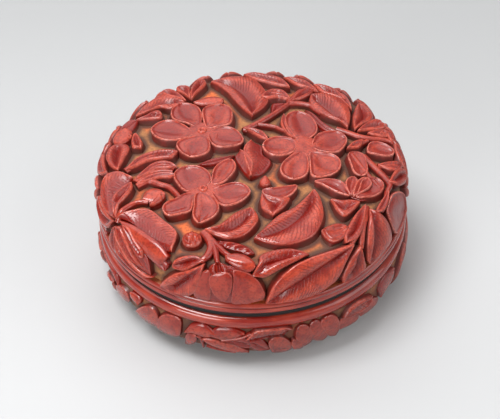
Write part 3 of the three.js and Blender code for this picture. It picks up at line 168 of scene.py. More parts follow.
# Motifs of the lid: a kind, its left edge and its right edge from base to tip, and for some the midrib
# Edges are x, y, x, y as shares of the radius of the lid's flat map, with the photo's front at -y
LID_MOTIF_SHARES = [
    ["petal", [-0.252, 0.204, -0.304, 0.248, -0.364, 0.276, -0.388, 0.32, -0.386, 0.38, -0.348, 0.428],
     [-0.238, 0.252, -0.238, 0.32, -0.252, 0.372, -0.292, 0.412]],
    ["petal", [-0.216, 0.196, -0.226, 0.252, -0.234, 0.312, -0.23, 0.364, -0.19, 0.386, -0.134, 0.396],
     [-0.16, 0.204, -0.098, 0.22, -0.086, 0.292, -0.092, 0.352]],
    ["petal", [-0.206, 0.172, -0.172, 0.198, -0.12, 0.204, -0.08, 0.188, -0.052, 0.152, -0.03, 0.1],
     [-0.204, 0.128, -0.192, 0.08, -0.15, 0.048, -0.09, 0.052, -0.04, 0.066]],
    ["petal", [-0.234, 0.156, -0.202, 0.12, -0.194, 0.06, -0.2, 0.016, -0.24, -0.012, -0.292, -0.02],
     [-0.284, 0.132, -0.344, 0.116, -0.358, 0.078, -0.332, 0.02]],
    ["petal", [-0.264, 0.176, -0.284, 0.148, -0.34, 0.122, -0.406, 0.126, -0.46, 0.158, -0.49, 0.22],
     [-0.284, 0.192, -0.316, 0.228, -0.376, 0.278, -0.416, 0.284, -0.46, 0.264]],
    ["petal", [0.246, 0.084, 0.2, 0.12, 0.176, 0.18, 0.168, 0.24, 0.184, 0.3, 0.23, 0.328], [0.306, 0.128,
     0.326, 0.18, 0.316, 0.24, 0.284, 0.3]],
    ["petal", [0.224, 0.044, 0.2, -0.004, 0.15, -0.024, 0.096, -0.022, 0.068, 0.006, 0.052, 0.048], [0.21,
     0.092, 0.16, 0.114, 0.11, 0.112, 0.072, 0.09]],
    ["petal", [0.286, 0.044, 0.306, 0.112, 0.336, 0.148, 0.38, 0.162, 0.428, 0.164, 0.464, 0.124], [0.34,
     0.004, 0.412, 0.004, 0.446, 0.048, 0.464, 0.084]],
    ["petal", [0.276, 0.016, 0.34, -0.004, 0.396, -0.018, 0.424, -0.064, 0.418, -0.12], [0.276, -0.09,
     0.278, -0.176, 0.32, -0.178, 0.38, -0.162]],
    ["petal", [0.246, 0.018, 0.268, -0.03, 0.27, -0.1, 0.256, -0.164, 0.2, -0.198], [0.188, -0.028, 0.148,
     -0.076, 0.134, -0.132, 0.156, -0.178]],
    ["petal", [-0.244, -0.232, -0.3, -0.252, -0.34, -0.2, -0.366, -0.136, -0.352, -0.096, -0.312, -0.072],
     [-0.204, -0.22, -0.186, -0.18, -0.2, -0.124, -0.248, -0.08]],
    ["petal", [-0.196, -0.212, -0.184, -0.16, -0.176, -0.108, -0.14, -0.06, -0.094, -0.036], [-0.14, -0.212,
     -0.11, -0.18, -0.08, -0.132, -0.07, -0.08]],
    ["petal", [-0.198, -0.24, -0.164, -0.232, -0.116, -0.212, -0.07, -0.204, -0.026, -0.224, 0, -0.268],
     [-0.172, -0.31, -0.136, -0.356, -0.072, -0.344, -0.024, -0.308]],
    ["petal", [-0.228, -0.252, -0.192, -0.28, -0.16, -0.324, -0.152, -0.38, -0.18, -0.428, -0.246, -0.464],
     [-0.258, -0.26, -0.266, -0.3, -0.266, -0.35, -0.272, -0.41]],
    ["petal", [-0.26, -0.256, -0.272, -0.32, -0.276, -0.376, -0.33, -0.39, -0.39, -0.4, -0.414, -0.352],
     [-0.29, -0.258, -0.32, -0.268, -0.352, -0.292, -0.4, -0.316]],
    ["leaf", [0.008, 0.292, -0.032, 0.352, -0.072, 0.428, -0.108, 0.504, -0.152, 0.568, -0.198, 0.61],
     [0.072, 0.368, 0.092, 0.44, 0.068, 0.54, 0.008, 0.632, -0.1, 0.652], [0.008, 0.37, -0.008, 0.44,
     -0.044, 0.52, -0.104, 0.588]],
    ["leaf", [0.472, 0.192, 0.444, 0.244, 0.38, 0.284, 0.332, 0.34, 0.3, 0.412, 0.308, 0.472], [0.488, 0.26,
     0.492, 0.344, 0.464, 0.428, 0.388, 0.492], [0.44, 0.264, 0.404, 0.332, 0.36, 0.396, 0.332, 0.436]],
    ["leaf", [0.508, 0.184, 0.504, 0.24, 0.512, 0.308, 0.528, 0.372, 0.544, 0.412], [0.548, 0.232, 0.592,
     0.272, 0.604, 0.32, 0.58, 0.376]],
    ["foldleft", [-0.052, 0.024, -0.02, -0.01, 0.008, -0.08, -0.006, -0.164], [-0.076, -0.01, -0.052, -0.08,
     -0.028, -0.136]],
    ["foldright", [0.004, 0.096, 0.052, 0.068, 0.058, 0.004, 0.094, -0.048, 0.06, -0.12, -0.002, -0.164],
     [-0.028, 0.048, -0.032, -0.02, -0.016, -0.1]],
    ["petal", [0.04, -0.24, 0.092, -0.248, 0.16, -0.236, 0.22, -0.22], [0.068, -0.32, 0.148, -0.316, 0.196,
     -0.28]],
    ["leaf", [0.044, -0.284, 0.12, -0.308, 0.172, -0.312, 0.14, -0.376, 0.092, -0.42], [0.04, -0.332, 0.052,
     -0.384]],
    ["leaf", [0.286, -0.252, 0.312, -0.3, 0.324, -0.392, 0.308, -0.472, 0.26, -0.548, 0.16, -0.592, 0.072,
     -0.584, 0.004, -0.552], [0.248, -0.308, 0.196, -0.368, 0.124, -0.416, 0.06, -0.488], [0.268, -0.34,
     0.228, -0.408, 0.16, -0.476, 0.08, -0.524]],
    ["leaf", [-0.22, -0.492, -0.164, -0.48, -0.12, -0.444, -0.072, -0.398, -0.006, -0.368], [-0.172, -0.528,
     -0.108, -0.552, -0.036, -0.532, 0.018, -0.464, 0.022, -0.412], [-0.136, -0.5, -0.068, -0.468, -0.016,
     -0.412]],
    ["leaf", [-0.566, 0.34, -0.532, 0.42, -0.476, 0.488, -0.424, 0.52, -0.368, 0.488, -0.324, 0.436],
     [-0.51, 0.374, -0.452, 0.404, -0.412, 0.392, -0.38, 0.39], [-0.5, 0.386, -0.43, 0.44]],
    ["leaf", [-0.564, 0.318, -0.52, 0.34, -0.488, 0.37, -0.452, 0.38, -0.436, 0.346], [-0.532, 0.312, -0.48,
     0.308, -0.436, 0.312]],
    ["leaf", [-0.296, 0.456, -0.326, 0.496, -0.366, 0.544, -0.366, 0.58], [-0.3, 0.51, -0.308, 0.572]],
    ["leaf", [-0.29, 0.448, -0.298, 0.52, -0.284, 0.59, -0.256, 0.628, -0.224, 0.626], [-0.272, 0.496,
     -0.24, 0.548, -0.22, 0.592]],
    ["bud", [-0.288, 0.418, -0.252, 0.448, -0.2, 0.47, -0.152, 0.46, -0.126, 0.436], [-0.24, 0.4, -0.18,
     0.402, -0.134, 0.412]],
    ["bud", [-0.628, 0.128, -0.672, 0.152, -0.676, 0.2, -0.656, 0.24, -0.612, 0.256], [-0.596, 0.156,
     -0.578, 0.2, -0.584, 0.24]],
    ["leaf", [-0.632, -0.06, -0.656, -0.04, -0.688, 0.01, -0.704, 0.06, -0.688, 0.112, -0.648, 0.136],
     [-0.608, 0.02, -0.588, 0.084, -0.6, 0.124]],
    ["leaf", [-0.68, -0.072, -0.74, -0.05, -0.78, 0.03, -0.78, 0.09, -0.752, 0.12], [-0.704, -0.02, -0.72,
     0.048, -0.728, 0.092]],
    ["foldleft", [-0.656, -0.36, -0.712, -0.29, -0.736, -0.19, -0.704, -0.104, -0.632, -0.072, -0.56,
     -0.124], [-0.652, -0.28, -0.64, -0.212, -0.6, -0.16]],
    ["leaf", [-0.644, -0.364, -0.656, -0.29, -0.632, -0.216, -0.564, -0.152], [-0.62, -0.304, -0.576,
     -0.236, -0.558, -0.188]],
    ["leaf", [-0.67, -0.368, -0.76, -0.36, -0.83, -0.29, -0.84, -0.21, -0.81, -0.14], [-0.708, -0.312,
     -0.752, -0.232, -0.768, -0.168]],
    ["foldleft", [-0.652, -0.372, -0.568, -0.346, -0.48, -0.346, -0.408, -0.42, -0.344, -0.508, -0.372,
     -0.612], [-0.568, -0.408, -0.504, -0.468, -0.44, -0.544, -0.404, -0.604]],
    ["gloss", [-0.632, -0.381, -0.579, -0.413, -0.506, -0.46, -0.435, -0.538, -0.394, -0.632], [-0.612,
     -0.435, -0.586, -0.514, -0.533, -0.599, -0.472, -0.669]],
    ["low", [-0.496, -0.599, -0.5, -0.643, -0.481, -0.683, -0.448, -0.7], [-0.451, -0.629, -0.425, -0.654,
     -0.418, -0.68]],
    ["leaf", [-0.61, -0.412, -0.572, -0.448, -0.552, -0.52, -0.532, -0.572, -0.544, -0.6], [-0.604, -0.48,
     -0.584, -0.56, -0.56, -0.6]],
    ["leaf", [-0.668, -0.4, -0.632, -0.42, -0.62, -0.5, -0.612, -0.58, -0.592, -0.64], [-0.672, -0.492,
     -0.644, -0.588]],
    ["leaf", [-0.676, -0.392, -0.72, -0.472, -0.78, -0.508, -0.819, -0.464], [-0.732, -0.396, -0.8,
     -0.408]],
    ["leaf", [-0.68, -0.412, -0.689, -0.507, -0.663, -0.614, -0.605, -0.687, -0.552, -0.716], [-0.777,
     -0.491, -0.733, -0.59, -0.65, -0.68]],
    ["bud", [-0.508, -0.28, -0.5, -0.224, -0.466, -0.204, -0.42, -0.216, -0.4, -0.252], [-0.48, -0.292,
     -0.44, -0.298, -0.408, -0.28]],
    ["cup", [-0.274, -0.5, -0.306, -0.508, -0.322, -0.544, -0.302, -0.586, -0.274, -0.592], [-0.24, -0.512,
     -0.228, -0.548, -0.244, -0.584]],
    ["bud", [-0.132, -0.648, -0.088, -0.636, -0.04, -0.644, 0, -0.68, 0.012, -0.72], [-0.112, -0.692,
     -0.068, -0.732, -0.02, -0.752]],
    ["leaf", [-0.22, -0.676, -0.272, -0.696, -0.332, -0.712, -0.392, -0.688], [-0.26, -0.644, -0.32, -0.644,
     -0.372, -0.66]],
    ["leaf", [-0.22, -0.688, -0.26, -0.76, -0.327, -0.839, -0.405, -0.85, -0.489, -0.804, -0.541, -0.77],
     [-0.3, -0.712, -0.402, -0.724, -0.511, -0.757], [-0.3, -0.74, -0.409, -0.789, -0.49, -0.797]],
    ["lobe", [-0.2, -0.72, -0.219, -0.812, -0.255, -0.904, -0.3, -0.892], [-0.25, -0.732, -0.306, -0.796,
     -0.344, -0.876]],
    ["lobe", [-0.12, -0.736, -0.1, -0.772, -0.123, -0.853, -0.161, -0.921], [-0.212, -0.752, -0.217, -0.832,
     -0.197, -0.901]],
    ["lobe", [-0.1, -0.728, -0.03, -0.748, 0.024, -0.8, 0.054, -0.896, -0.042, -0.938], [-0.096, -0.78,
     -0.116, -0.867, -0.126, -0.93]],
    ["leaf", [-0.008, -0.764, 0.024, -0.7, 0.032, -0.656, 0.092, -0.628, 0.172, -0.62, 0.252, -0.652],
     [0.048, -0.772, 0.12, -0.732, 0.2, -0.684], [0.06, -0.708, 0.128, -0.668, 0.2, -0.648]],
    ["leaf", [0.468, -0.576, 0.452, -0.66, 0.437, -0.768, 0.36, -0.858, 0.237, -0.911, 0.143, -0.928, 0.061,
     -0.928], [0.352, -0.632, 0.252, -0.676, 0.172, -0.728, 0.1, -0.815], [0.4, -0.66, 0.308, -0.74, 0.203,
     -0.831, 0.123, -0.896]],
    ["petal", [0.284, -0.192, 0.348, -0.184, 0.42, -0.198, 0.44, -0.248, 0.456, -0.3], [0.328, -0.224,
     0.392, -0.272]],
    ["leaf", [0.496, -0.332, 0.464, -0.38, 0.42, -0.42, 0.388, -0.392, 0.372, -0.352, 0.36, -0.316], [0.452,
     -0.32, 0.408, -0.324]],
    ["cup", [0.44, -0.484, 0.432, -0.532, 0.388, -0.568, 0.34, -0.572, 0.304, -0.508], [0.412, -0.468,
     0.372, -0.468, 0.332, -0.488]],
    ["petal", [0.5, 0.028, 0.46, 0, 0.47, -0.072, 0.484, -0.144, 0.516, -0.16], [0.538, 0, 0.548, -0.072,
     0.544, -0.14]],
    ["petal", [0.456, -0.3, 0.436, -0.24, 0.444, -0.184, 0.476, -0.16], [0.48, -0.24, 0.496, -0.184]],
    ["petal", [0.472, -0.304, 0.5, -0.24, 0.52, -0.178, 0.58, -0.158], [0.564, -0.292, 0.608, -0.248, 0.62,
     -0.192]],
    ["leaf", [0.52, 0.172, 0.548, 0.216, 0.588, 0.26, 0.62, 0.276, 0.652, 0.26], [0.56, 0.184, 0.62, 0.196,
     0.66, 0.22]],
    ["petal", [0.552, 0.016, 0.56, 0.06, 0.58, 0.094, 0.628, 0.092, 0.668, 0.068, 0.692, 0.032], [0.596, 0,
     0.64, -0.008, 0.676, 0]],
    ["leaf", [0.536, -0.372, 0.62, -0.4, 0.728, -0.437, 0.789, -0.482, 0.728, -0.58, 0.646, -0.646], [0.536,
     -0.452, 0.556, -0.548, 0.602, -0.627], [0.58, -0.46, 0.623, -0.542]],
    ["leaf", [0.508, -0.58, 0.576, -0.637, 0.626, -0.675, 0.581, -0.74, 0.503, -0.785], [0.48, -0.653,
     0.474, -0.743]],
    ["petal", [0.632, -0.368, 0.648, -0.28, 0.712, -0.224, 0.78, -0.208, 0.847, -0.245], [0.692, -0.41,
     0.789, -0.421, 0.839, -0.34]],
    ["leaf", [0.64, -0.192, 0.672, -0.12, 0.72, -0.072, 0.77, -0.06], [0.7, -0.192, 0.768, -0.128]],
    ["leaf", [0.7, 0.1, 0.74, 0.08, 0.8, 0.03, 0.82, -0.05], [0.7, 0.03, 0.75, -0.03]],
    ["low", [-0.26, -0.064, -0.2, -0.024, -0.14, -0.008, -0.076, -0.002], [-0.18, -0.06, -0.12, -0.034]],
    ["bud", [0.06, -0.236, 0.034, -0.212, 0.046, -0.176, 0.064, -0.16], [0.088, -0.22, 0.08, -0.176]],
    ["low", [0.184, 0.404, 0.15, 0.408, 0.114, 0.404, 0.108, 0.36, 0.108, 0.312], [0.17, 0.372, 0.14,
     0.336]],
    ["leaf", [-0.568, 0.2, -0.576, 0.152, -0.572, 0.112, -0.564, 0.092, -0.528, 0.086], [-0.552, 0.192,
     -0.536, 0.16, -0.524, 0.12]],
    ["twist", [-0.172, -0.552, -0.124, -0.56, -0.072, -0.572, -0.016, -0.604, 0.004, -0.632], [-0.128,
     -0.592, -0.068, -0.616, -0.02, -0.64]],
    ["ribbed", [-0.16, -0.684, -0.204, -0.712, -0.2, -0.75, -0.164, -0.764], [-0.12, -0.712, -0.12,
     -0.748]],
    ["petal", [0.46, -0.302, 0.48, -0.232, 0.504, -0.18, 0.54, -0.16], [0.532, -0.252, 0.564, -0.204]],
    ["leaf", [0.568, 0.164, 0.604, 0.184, 0.648, 0.198, 0.68, 0.176], [0.608, 0.15, 0.66, 0.144]],
    ["leaf", [-0.596, -0.068, -0.552, 0.001, -0.491, 0.043, -0.419, 0.056, -0.347, 0.04], [-0.55, -0.05,
     -0.493, -0.018, -0.427, -0.009, -0.374, -0.004]],
    ["leaf", [-0.55, -0.144, -0.514, -0.09, -0.469, -0.04, -0.417, -0.025, -0.373, -0.044, -0.349, -0.079],
     [-0.495, -0.114, -0.444, -0.082, -0.391, -0.081]],
    ["leaf", [-0.54, -0.166, -0.489, -0.125, -0.438, -0.107, -0.391, -0.109, -0.343, -0.128], [-0.484,
     -0.157, -0.428, -0.14, -0.38, -0.144]],
    ["bud", [-0.478, -0.326, -0.446, -0.317, -0.41, -0.282, -0.425, -0.234], [-0.46, -0.289, -0.438,
     -0.259]],
    ["low", [-0.552, 0.325, -0.598, 0.337, -0.646, 0.307, -0.677, 0.237], [-0.579, 0.255, -0.627, 0.235]],
    ["leaf", [-0.317, 0.442, -0.365, 0.525, -0.409, 0.557, -0.46, 0.545], [-0.368, 0.471, -0.414, 0.495]],
    ["leaf", [0.057, 0.449, 0.083, 0.498, 0.124, 0.52, 0.174, 0.501, 0.206, 0.425], [0.092, 0.435, 0.142,
     0.447, 0.176, 0.429]],
    ["leaf", [0.211, 0.416, 0.238, 0.484, 0.286, 0.531, 0.342, 0.547], [0.256, 0.435, 0.308, 0.481]],
    ["leaf", [0.205, 0.534, 0.167, 0.615, 0.097, 0.655, 0.031, 0.677, -0.03, 0.665], [0.145, 0.553, 0.08,
     0.587, 0.015, 0.623]],
    ["leaf", [0.349, 0.492, 0.298, 0.588, 0.239, 0.625, 0.173, 0.634], [0.286, 0.536, 0.232, 0.567]],
    ["leaf", [0.481, 0.428, 0.446, 0.506, 0.388, 0.554, 0.323, 0.565], [0.423, 0.459, 0.364, 0.492]],
    ["leaf", [0.505, 0.351, 0.499, 0.411, 0.478, 0.468, 0.44, 0.497], [0.478, 0.392, 0.452, 0.443]],
    ["leaf", [0.617, 0.149, 0.662, 0.211, 0.704, 0.194, 0.701, 0.122], [0.657, 0.16, 0.678, 0.116]],
    ["low", [0.457, 0.16, 0.409, 0.157, 0.353, 0.194, 0.308, 0.265, 0.272, 0.348], [0.411, 0.196, 0.36,
     0.246, 0.315, 0.315]],
    ["leaf", [0.232, 0.09, 0.19, 0.12, 0.158, 0.183, 0.151, 0.247, 0.167, 0.313], [0.205, 0.151, 0.181,
     0.214, 0.176, 0.271]],
    ["leaf", [-0.03, 0.187, 0.018, 0.178, 0.061, 0.153, 0.088, 0.094], [0.008, 0.15, 0.05, 0.11]],
    ["leaf", [0.459, 0.041, 0.496, 0.089, 0.546, 0.111], [0.507, 0.044, 0.533, 0.072]],
    ["leaf", [0.599, -0.072, 0.659, -0.042, 0.755, -0.031], [0.654, -0.1, 0.699, -0.093]],
    ["leaf", [0.522, -0.343, 0.476, -0.402, 0.44, -0.471, 0.413, -0.538, 0.423, -0.582], [0.517, -0.406,
     0.503, -0.485, 0.477, -0.548]],
    ["leaf", [0.8, -0.45, 0.871, -0.356, 0.907, -0.249, 0.9, -0.15], [0.83, -0.36, 0.87, -0.26]],
    ["leaf", [0.637, -0.231, 0.614, -0.285, 0.581, -0.346, 0.559, -0.398], [0.633, -0.312, 0.606, -0.375]],
    ["bed", [-0.17, -0.7, -0.25, -0.76, -0.325, -0.879, -0.284, -0.897, -0.144, -0.93], [-0.08, -0.72, 0.0,
     -0.78, 0.047, -0.911]],
    ["bed", [0.5, -0.31, 0.43, -0.27, 0.41, -0.21, 0.47, -0.165], [0.56, -0.29, 0.6, -0.24, 0.57, -0.18]],
    ["bed", [-0.66, -0.4, -0.714, -0.51, -0.665, -0.614, -0.573, -0.706], [-0.6, -0.43, -0.56, -0.53,
     -0.531, -0.622]],
    ["leaf", [0.925, 0.03, 0.928, -0.05, 0.885, -0.12, 0.8, -0.135], [0.86, 0.01, 0.81, -0.05]],
    ["leaf", [-0.925, 0.05, -0.86, 0.055, -0.8, 0.0, -0.79, -0.1], [-0.928, -0.03, -0.87, -0.09]],
    ["lobe", [-0.915, -0.13, -0.868, -0.15, -0.86, -0.26, -0.862, -0.35], [-0.925, -0.2, -0.9, -0.3]],
]

# Stems of the lid: the path from thick to thin, and the width as a share of STEM_WIDTH
LID_STEM_SHARES = [
    [[-0.032, 0.188, 0.032, 0.236, 0.1, 0.296, 0.16, 0.36, 0.198, 0.408], 1],
    [[0.198, 0.406, 0.248, 0.404, 0.3, 0.388, 0.327, 0.349, 0.354, 0.317], 1],
    [[0.2, 0.412, 0.228, 0.468, 0.256, 0.512, 0.312, 0.528], 0.9],
    [[0.202, 0.416, 0.188, 0.452, 0.152, 0.486, 0.11, 0.492], 1],
    [[-0.032, 0.19, 0.028, 0.168, 0.08, 0.12], 0.9],
    [[0.421, 0.197, 0.456, 0.18, 0.52, 0.148, 0.57, 0.134, 0.64, 0.128, 0.7, 0.11], 1],
    [[0.536, -0.004, 0.58, -0.072, 0.628, -0.148, 0.65, -0.2, 0.632, -0.25, 0.622, -0.34, 0.6, -0.38], 1.1],
    [[0.524, -0.352, 0.512, -0.428, 0.51, -0.508, 0.528, -0.588], 1.1],
    [[0.508, -0.44, 0.476, -0.54, 0.45, -0.6], 1],
    [[-0.6, -0.062, -0.55, -0.024, -0.49, 0.02, -0.43, 0.042, -0.36, 0.034], 1.1],
    [[-0.548, -0.148, -0.512, -0.1, -0.47, -0.064, -0.41, -0.042, -0.36, -0.08], 1.1],
    [[-0.54, -0.176, -0.484, -0.148, -0.43, -0.176, -0.386, -0.2, -0.35, -0.248, -0.33, -0.284], 1],
    [[-0.657, -0.38, -0.58, -0.31, -0.53, -0.284, -0.48, -0.288], 1],
    [[-0.216, -0.5, -0.188, -0.552, -0.186, -0.6, -0.212, -0.652, -0.236, -0.68], 1],
    [[-0.184, -0.552, -0.148, -0.6, -0.112, -0.64, -0.072, -0.66], 0.9],
    [[0.04, 0.228, 0.088, 0.216, 0.12, 0.206, 0.149, 0.183, 0.172, 0.167], 0.7],
    [[0.468, 0.052, 0.508, 0.064, 0.544, 0.096, 0.566, 0.113], 0.8],
    [[0.6, -0.072, 0.66, -0.066, 0.72, -0.06], 1],
    [[-0.54, -0.148, -0.48, -0.1, -0.42, -0.088, -0.37, -0.1], 0.9],
    [[-0.188, -0.548, -0.172, -0.6, -0.164, -0.648, -0.162, -0.688], 0.9],
    [[0.48, 0.002, 0.514, -0.068, 0.551, -0.143, 0.6, -0.227], 0.9],
    [[-0.224, -0.498, -0.197, -0.541, -0.188, -0.588, -0.205, -0.639, -0.243, -0.679], 1.3],
]

# The buttons at the flowers' hearts: the middle, then the radius
LID_BOSS_SHARES = [[-0.234, 0.184, 0.024], [-0.224, -0.236, 0.022], [-0.588, 0.178, 0.013]]

# Low discs under the hearts of the three open blossoms: the middle, then the radius
LID_HEART_SHARES = [[-0.236, 0.168, 0.085], [0.246, 0.042, 0.09], [-0.224, -0.24, 0.085]]

# The leaves round the lid's back: turns of the first and last, and tip and foot as shares of the radius
LID_RIM_SHARES = {"first": 0.02, "last": 0.472, "count": 12, "slant": 0.008, "tip": 0.7, "foot": 0.93}

# How far out each edge of those leaves bulges at some shares of their length
RIM_LEAF_SHARES = [[0.25, 0.85], [0.5, 1], [0.78, 0.6]]

# Motifs of the base: as for the lid, with x as a share of a turn from the front and y from the foot up
BASE_MOTIF_SHARES = [
    ["gloss", [-0.215, 0.905, -0.203, 0.905, -0.186, 0.89, -0.174, 0.808, -0.164, 0.741], [-0.205, 0.905,
     -0.186, 0.905, -0.168, 0.905]],
    ["lobe", [-0.168, 0.689, -0.173, 0.511, -0.165, 0.481, -0.15, 0.548], [-0.158, 0.808, -0.148, 0.793,
     -0.144, 0.712]],
    ["bud", [-0.139, 0.905, -0.141, 0.801, -0.136, 0.756, -0.128, 0.771], [-0.134, 0.905, -0.129, 0.905,
     -0.124, 0.883]],
    ["lobe", [-0.136, 0.541, -0.133, 0.429, -0.123, 0.414, -0.11, 0.444], [-0.121, 0.793, -0.111, 0.905,
     -0.102, 0.831, -0.101, 0.682]],
    ["lobe", [-0.108, 0.496, -0.102, 0.689, -0.094, 0.853, -0.084, 0.905, -0.075, 0.905], [-0.102, 0.399,
     -0.09, 0.436, -0.079, 0.555]],
    ["bud", [-0.075, 0.377, -0.07, 0.608, -0.064, 0.704, -0.058, 0.704], [-0.073, 0.295, -0.062, 0.496]],
    ["gloss", [-0.071, 0.682, -0.064, 0.846, -0.055, 0.905, -0.048, 0.898, -0.038, 0.786], [-0.064, 0.712,
     -0.055, 0.682, -0.046, 0.697]],
    ["gloss", [-0.046, 0.756, -0.039, 0.875, -0.03, 0.905, -0.02, 0.905, -0.011, 0.853], [-0.039, 0.689,
     -0.029, 0.674, -0.019, 0.756]],
    ["lobe", [-0.053, 0.667, -0.043, 0.667, -0.026, 0.608, -0.015, 0.518, -0.006, 0.384], [-0.048, 0.585,
     -0.036, 0.503, -0.021, 0.422]],
    ["low", [-0.034, 0.697, -0.024, 0.719, -0.014, 0.756, -0.008, 0.719, 0.0, 0.578], [-0.026, 0.578,
     -0.015, 0.518, -0.008, 0.496]],
    ["foldleft", [-0.008, 0.741, -0.001, 0.875, 0.009, 0.905, 0.021, 0.905, 0.03, 0.905, 0.035, 0.875],
     [0.0, 0.697, 0.014, 0.734, 0.027, 0.734]],
    ["low", [-0.006, 0.674, 0.0, 0.697, 0.008, 0.645, 0.014, 0.466], [-0.004, 0.526, 0.004, 0.399]],
    ["lobe", [0.018, 0.37, 0.013, 0.563, 0.014, 0.697, 0.022, 0.741, 0.031, 0.667, 0.039, 0.436], [0.026,
     0.251, 0.035, 0.317]],
    ["lobe", [0.039, 0.399, 0.036, 0.578, 0.04, 0.652, 0.047, 0.503], [0.045, 0.288, 0.049, 0.34]],
    ["lobe", [0.049, 0.399, 0.042, 0.593, 0.041, 0.771, 0.042, 0.86, 0.047, 0.898], [0.056, 0.459, 0.056,
     0.652, 0.052, 0.831]],
    ["lobe", [0.07, 0.384, 0.061, 0.481, 0.055, 0.682, 0.055, 0.838, 0.059, 0.905], [0.075, 0.429, 0.07,
     0.682, 0.064, 0.86]],
    ["lobe", [0.087, 0.355, 0.079, 0.444, 0.07, 0.682, 0.066, 0.846, 0.074, 0.905], [0.087, 0.548, 0.085,
     0.727, 0.08, 0.868]],
    ["lobe", [0.089, 0.511, 0.086, 0.637, 0.089, 0.719, 0.099, 0.712, 0.112, 0.622], [0.1, 0.459, 0.111,
     0.444, 0.115, 0.503]],
    ["leaf", [0.092, 0.764, 0.099, 0.86, 0.11, 0.89, 0.12, 0.86, 0.129, 0.816], [0.102, 0.712, 0.115, 0.689,
     0.125, 0.719]],
    ["lobe", [0.116, 0.533, 0.112, 0.674, 0.117, 0.764, 0.128, 0.734, 0.142, 0.615], [0.126, 0.481, 0.141,
     0.444, 0.146, 0.496]],
    ["gloss", [0.15, 0.541, 0.144, 0.749, 0.149, 0.846, 0.159, 0.875, 0.172, 0.846], [0.165, 0.489, 0.176,
     0.541, 0.185, 0.563]],
    ["leaf", [0.188, 0.28, 0.186, 0.52, 0.193, 0.78, 0.208, 0.88], [0.2, 0.34, 0.211, 0.62]],
    ["leaf", [-0.212, 0.83, -0.216, 0.6, -0.228, 0.35, -0.246, 0.22, -0.265, 0.3], [-0.23, 0.84, -0.252,
     0.66]],
    ["leaf", [0.216, 0.3, 0.228, 0.18, 0.245, 0.2, 0.264, 0.4, 0.272, 0.66], [0.218, 0.6, 0.237, 0.82,
     0.258, 0.84]],
    ["leaf", [-0.176, 0.68, -0.19, 0.64, -0.205, 0.46, -0.208, 0.24], [-0.179, 0.46, -0.192, 0.26]],
]

# Stems of the base, as for the lid
BASE_STEM_SHARES = [
    [[-0.058, 0.689, -0.054, 0.608, -0.054, 0.399], 0.6],
    [[-0.05, 0.466, -0.036, 0.407, -0.02, 0.384], 0.7],
    [[-0.033, 0.682, -0.015, 0.764, -0.004, 0.853], 0.6],
]

# One repeat of the carving on the back of the base, and where the first and the last one stand
BASE_REPEAT_SHARES = [
    ["petal", [0, 0.15, -0.018, 0.45, -0.022, 0.748, -0.012, 0.876], [0.002, 0.4, 0, 0.748]],
    ["petal", [0.003, 0.15, 0.006, 0.4, 0.006, 0.748, 0.014, 0.876], [0.018, 0.35, 0.026, 0.68]],
    ["leaf", [-0.008, 0.12, -0.026, 0.16, -0.04, 0.4, -0.046, 0.66], [-0.018, 0.28, -0.028, 0.56]],
    ["leaf", [0.012, 0.12, 0.022, 0.3, 0.032, 0.55, 0.044, 0.834], [0.03, 0.1, 0.042, 0.3, 0.048, 0.6]],
]

BASE_REPEAT_SPAN_SHARES = {"first": 0.292, "last": 0.715, "count": 7}


def length_along(line):
    """The length of a line up to each of its points."""
    return np.concatenate([[0], np.cumsum(np.linalg.norm(np.diff(line, axis=0), axis=1))])


def unit(directions):
    """The same directions, each with length 1."""
    return directions / np.linalg.norm(directions, axis=-1, keepdims=True)


def left_of(along):
    """The directions a quarter turn to the left of others on the flat map."""
    return np.stack([-along[..., 1], along[..., 0]], -1)


def dense(points):
    """A half profile's points, with the length up to each of them and the way that the line runs there."""
    length = length_along(points)
    return points, length, unit(np.gradient(points, length, axis=0))


def lid_form():
    """The lid's outer form from the pole down to the seam."""
    share = np.linspace(0, 1, CURVE_POINTS)
    flat = WIDEST_RADIUS - SHOULDER_REACH
    top = np.stack([flat * share, BOX_HEIGHT - DOME_DROP * share**2], 1)
    turn = TURN / 4 * (1 - share[1:])
    rise = BOX_HEIGHT - DOME_DROP - SHOULDER_FOOT_HEIGHT
    side = np.stack([flat + SHOULDER_REACH * np.cos(turn), SHOULDER_FOOT_HEIGHT + rise * np.sin(turn)], 1)
    foot = np.linspace(side[-1], (SEAM_RADIUS, SEAM_HEIGHT), LID_WALL_POINTS)[1:]
    return dense(np.vstack([top, side, foot]))


def base_form():
    """The base's outer form from the foot up to the seam."""
    turn = np.linspace(0, TURN / 4, CURVE_POINTS)
    reach = BELLY_RADIUS - BELLY_FOOT_RADIUS
    low = np.stack([BELLY_FOOT_RADIUS + reach * np.sin(turn), BELLY_HEIGHT * (1 - np.cos(turn))], 1)
    share = np.linspace(0, 1, BASE_WALL_POINTS)[1:]
    high = np.stack([BELLY_RADIUS + (SEAM_RADIUS - BELLY_RADIUS) * share**2,
                     BELLY_HEIGHT + (SEAM_HEIGHT - BELLY_HEIGHT) * share], 1)
    return dense(np.vstack([low, high]))


LID_FORM = lid_form()
BASE_FORM = base_form()
LID_MAP_RADIUS = LID_FORM[1][-1]
BASE_MAP_AROUND = TURN * BELLY_RADIUS
BASE_MAP_HEIGHT = BASE_FORM[1][-1] - BASE_STRIP_END
LID_SCALE = np.array([LID_MAP_RADIUS, LID_MAP_RADIUS])
BASE_SCALE = np.array([BASE_MAP_AROUND, BASE_MAP_HEIGHT])


def under(form, side, length, inset):
    """Radius and height at a length along a form, set in under its surface."""
    points, lengths, along = form
    radius, height, run, climb = (np.interp(length, lengths, column) for column in (*points.T, *along.T))
    return radius - side * climb * inset, height + side * run * inset


def round_the_axis(radius, height, turn):
    """Places in metres at a radius, height and turn in the frame of the box."""
    return np.stack([radius * np.cos(turn), radius * np.sin(turn), height], -1) * MM


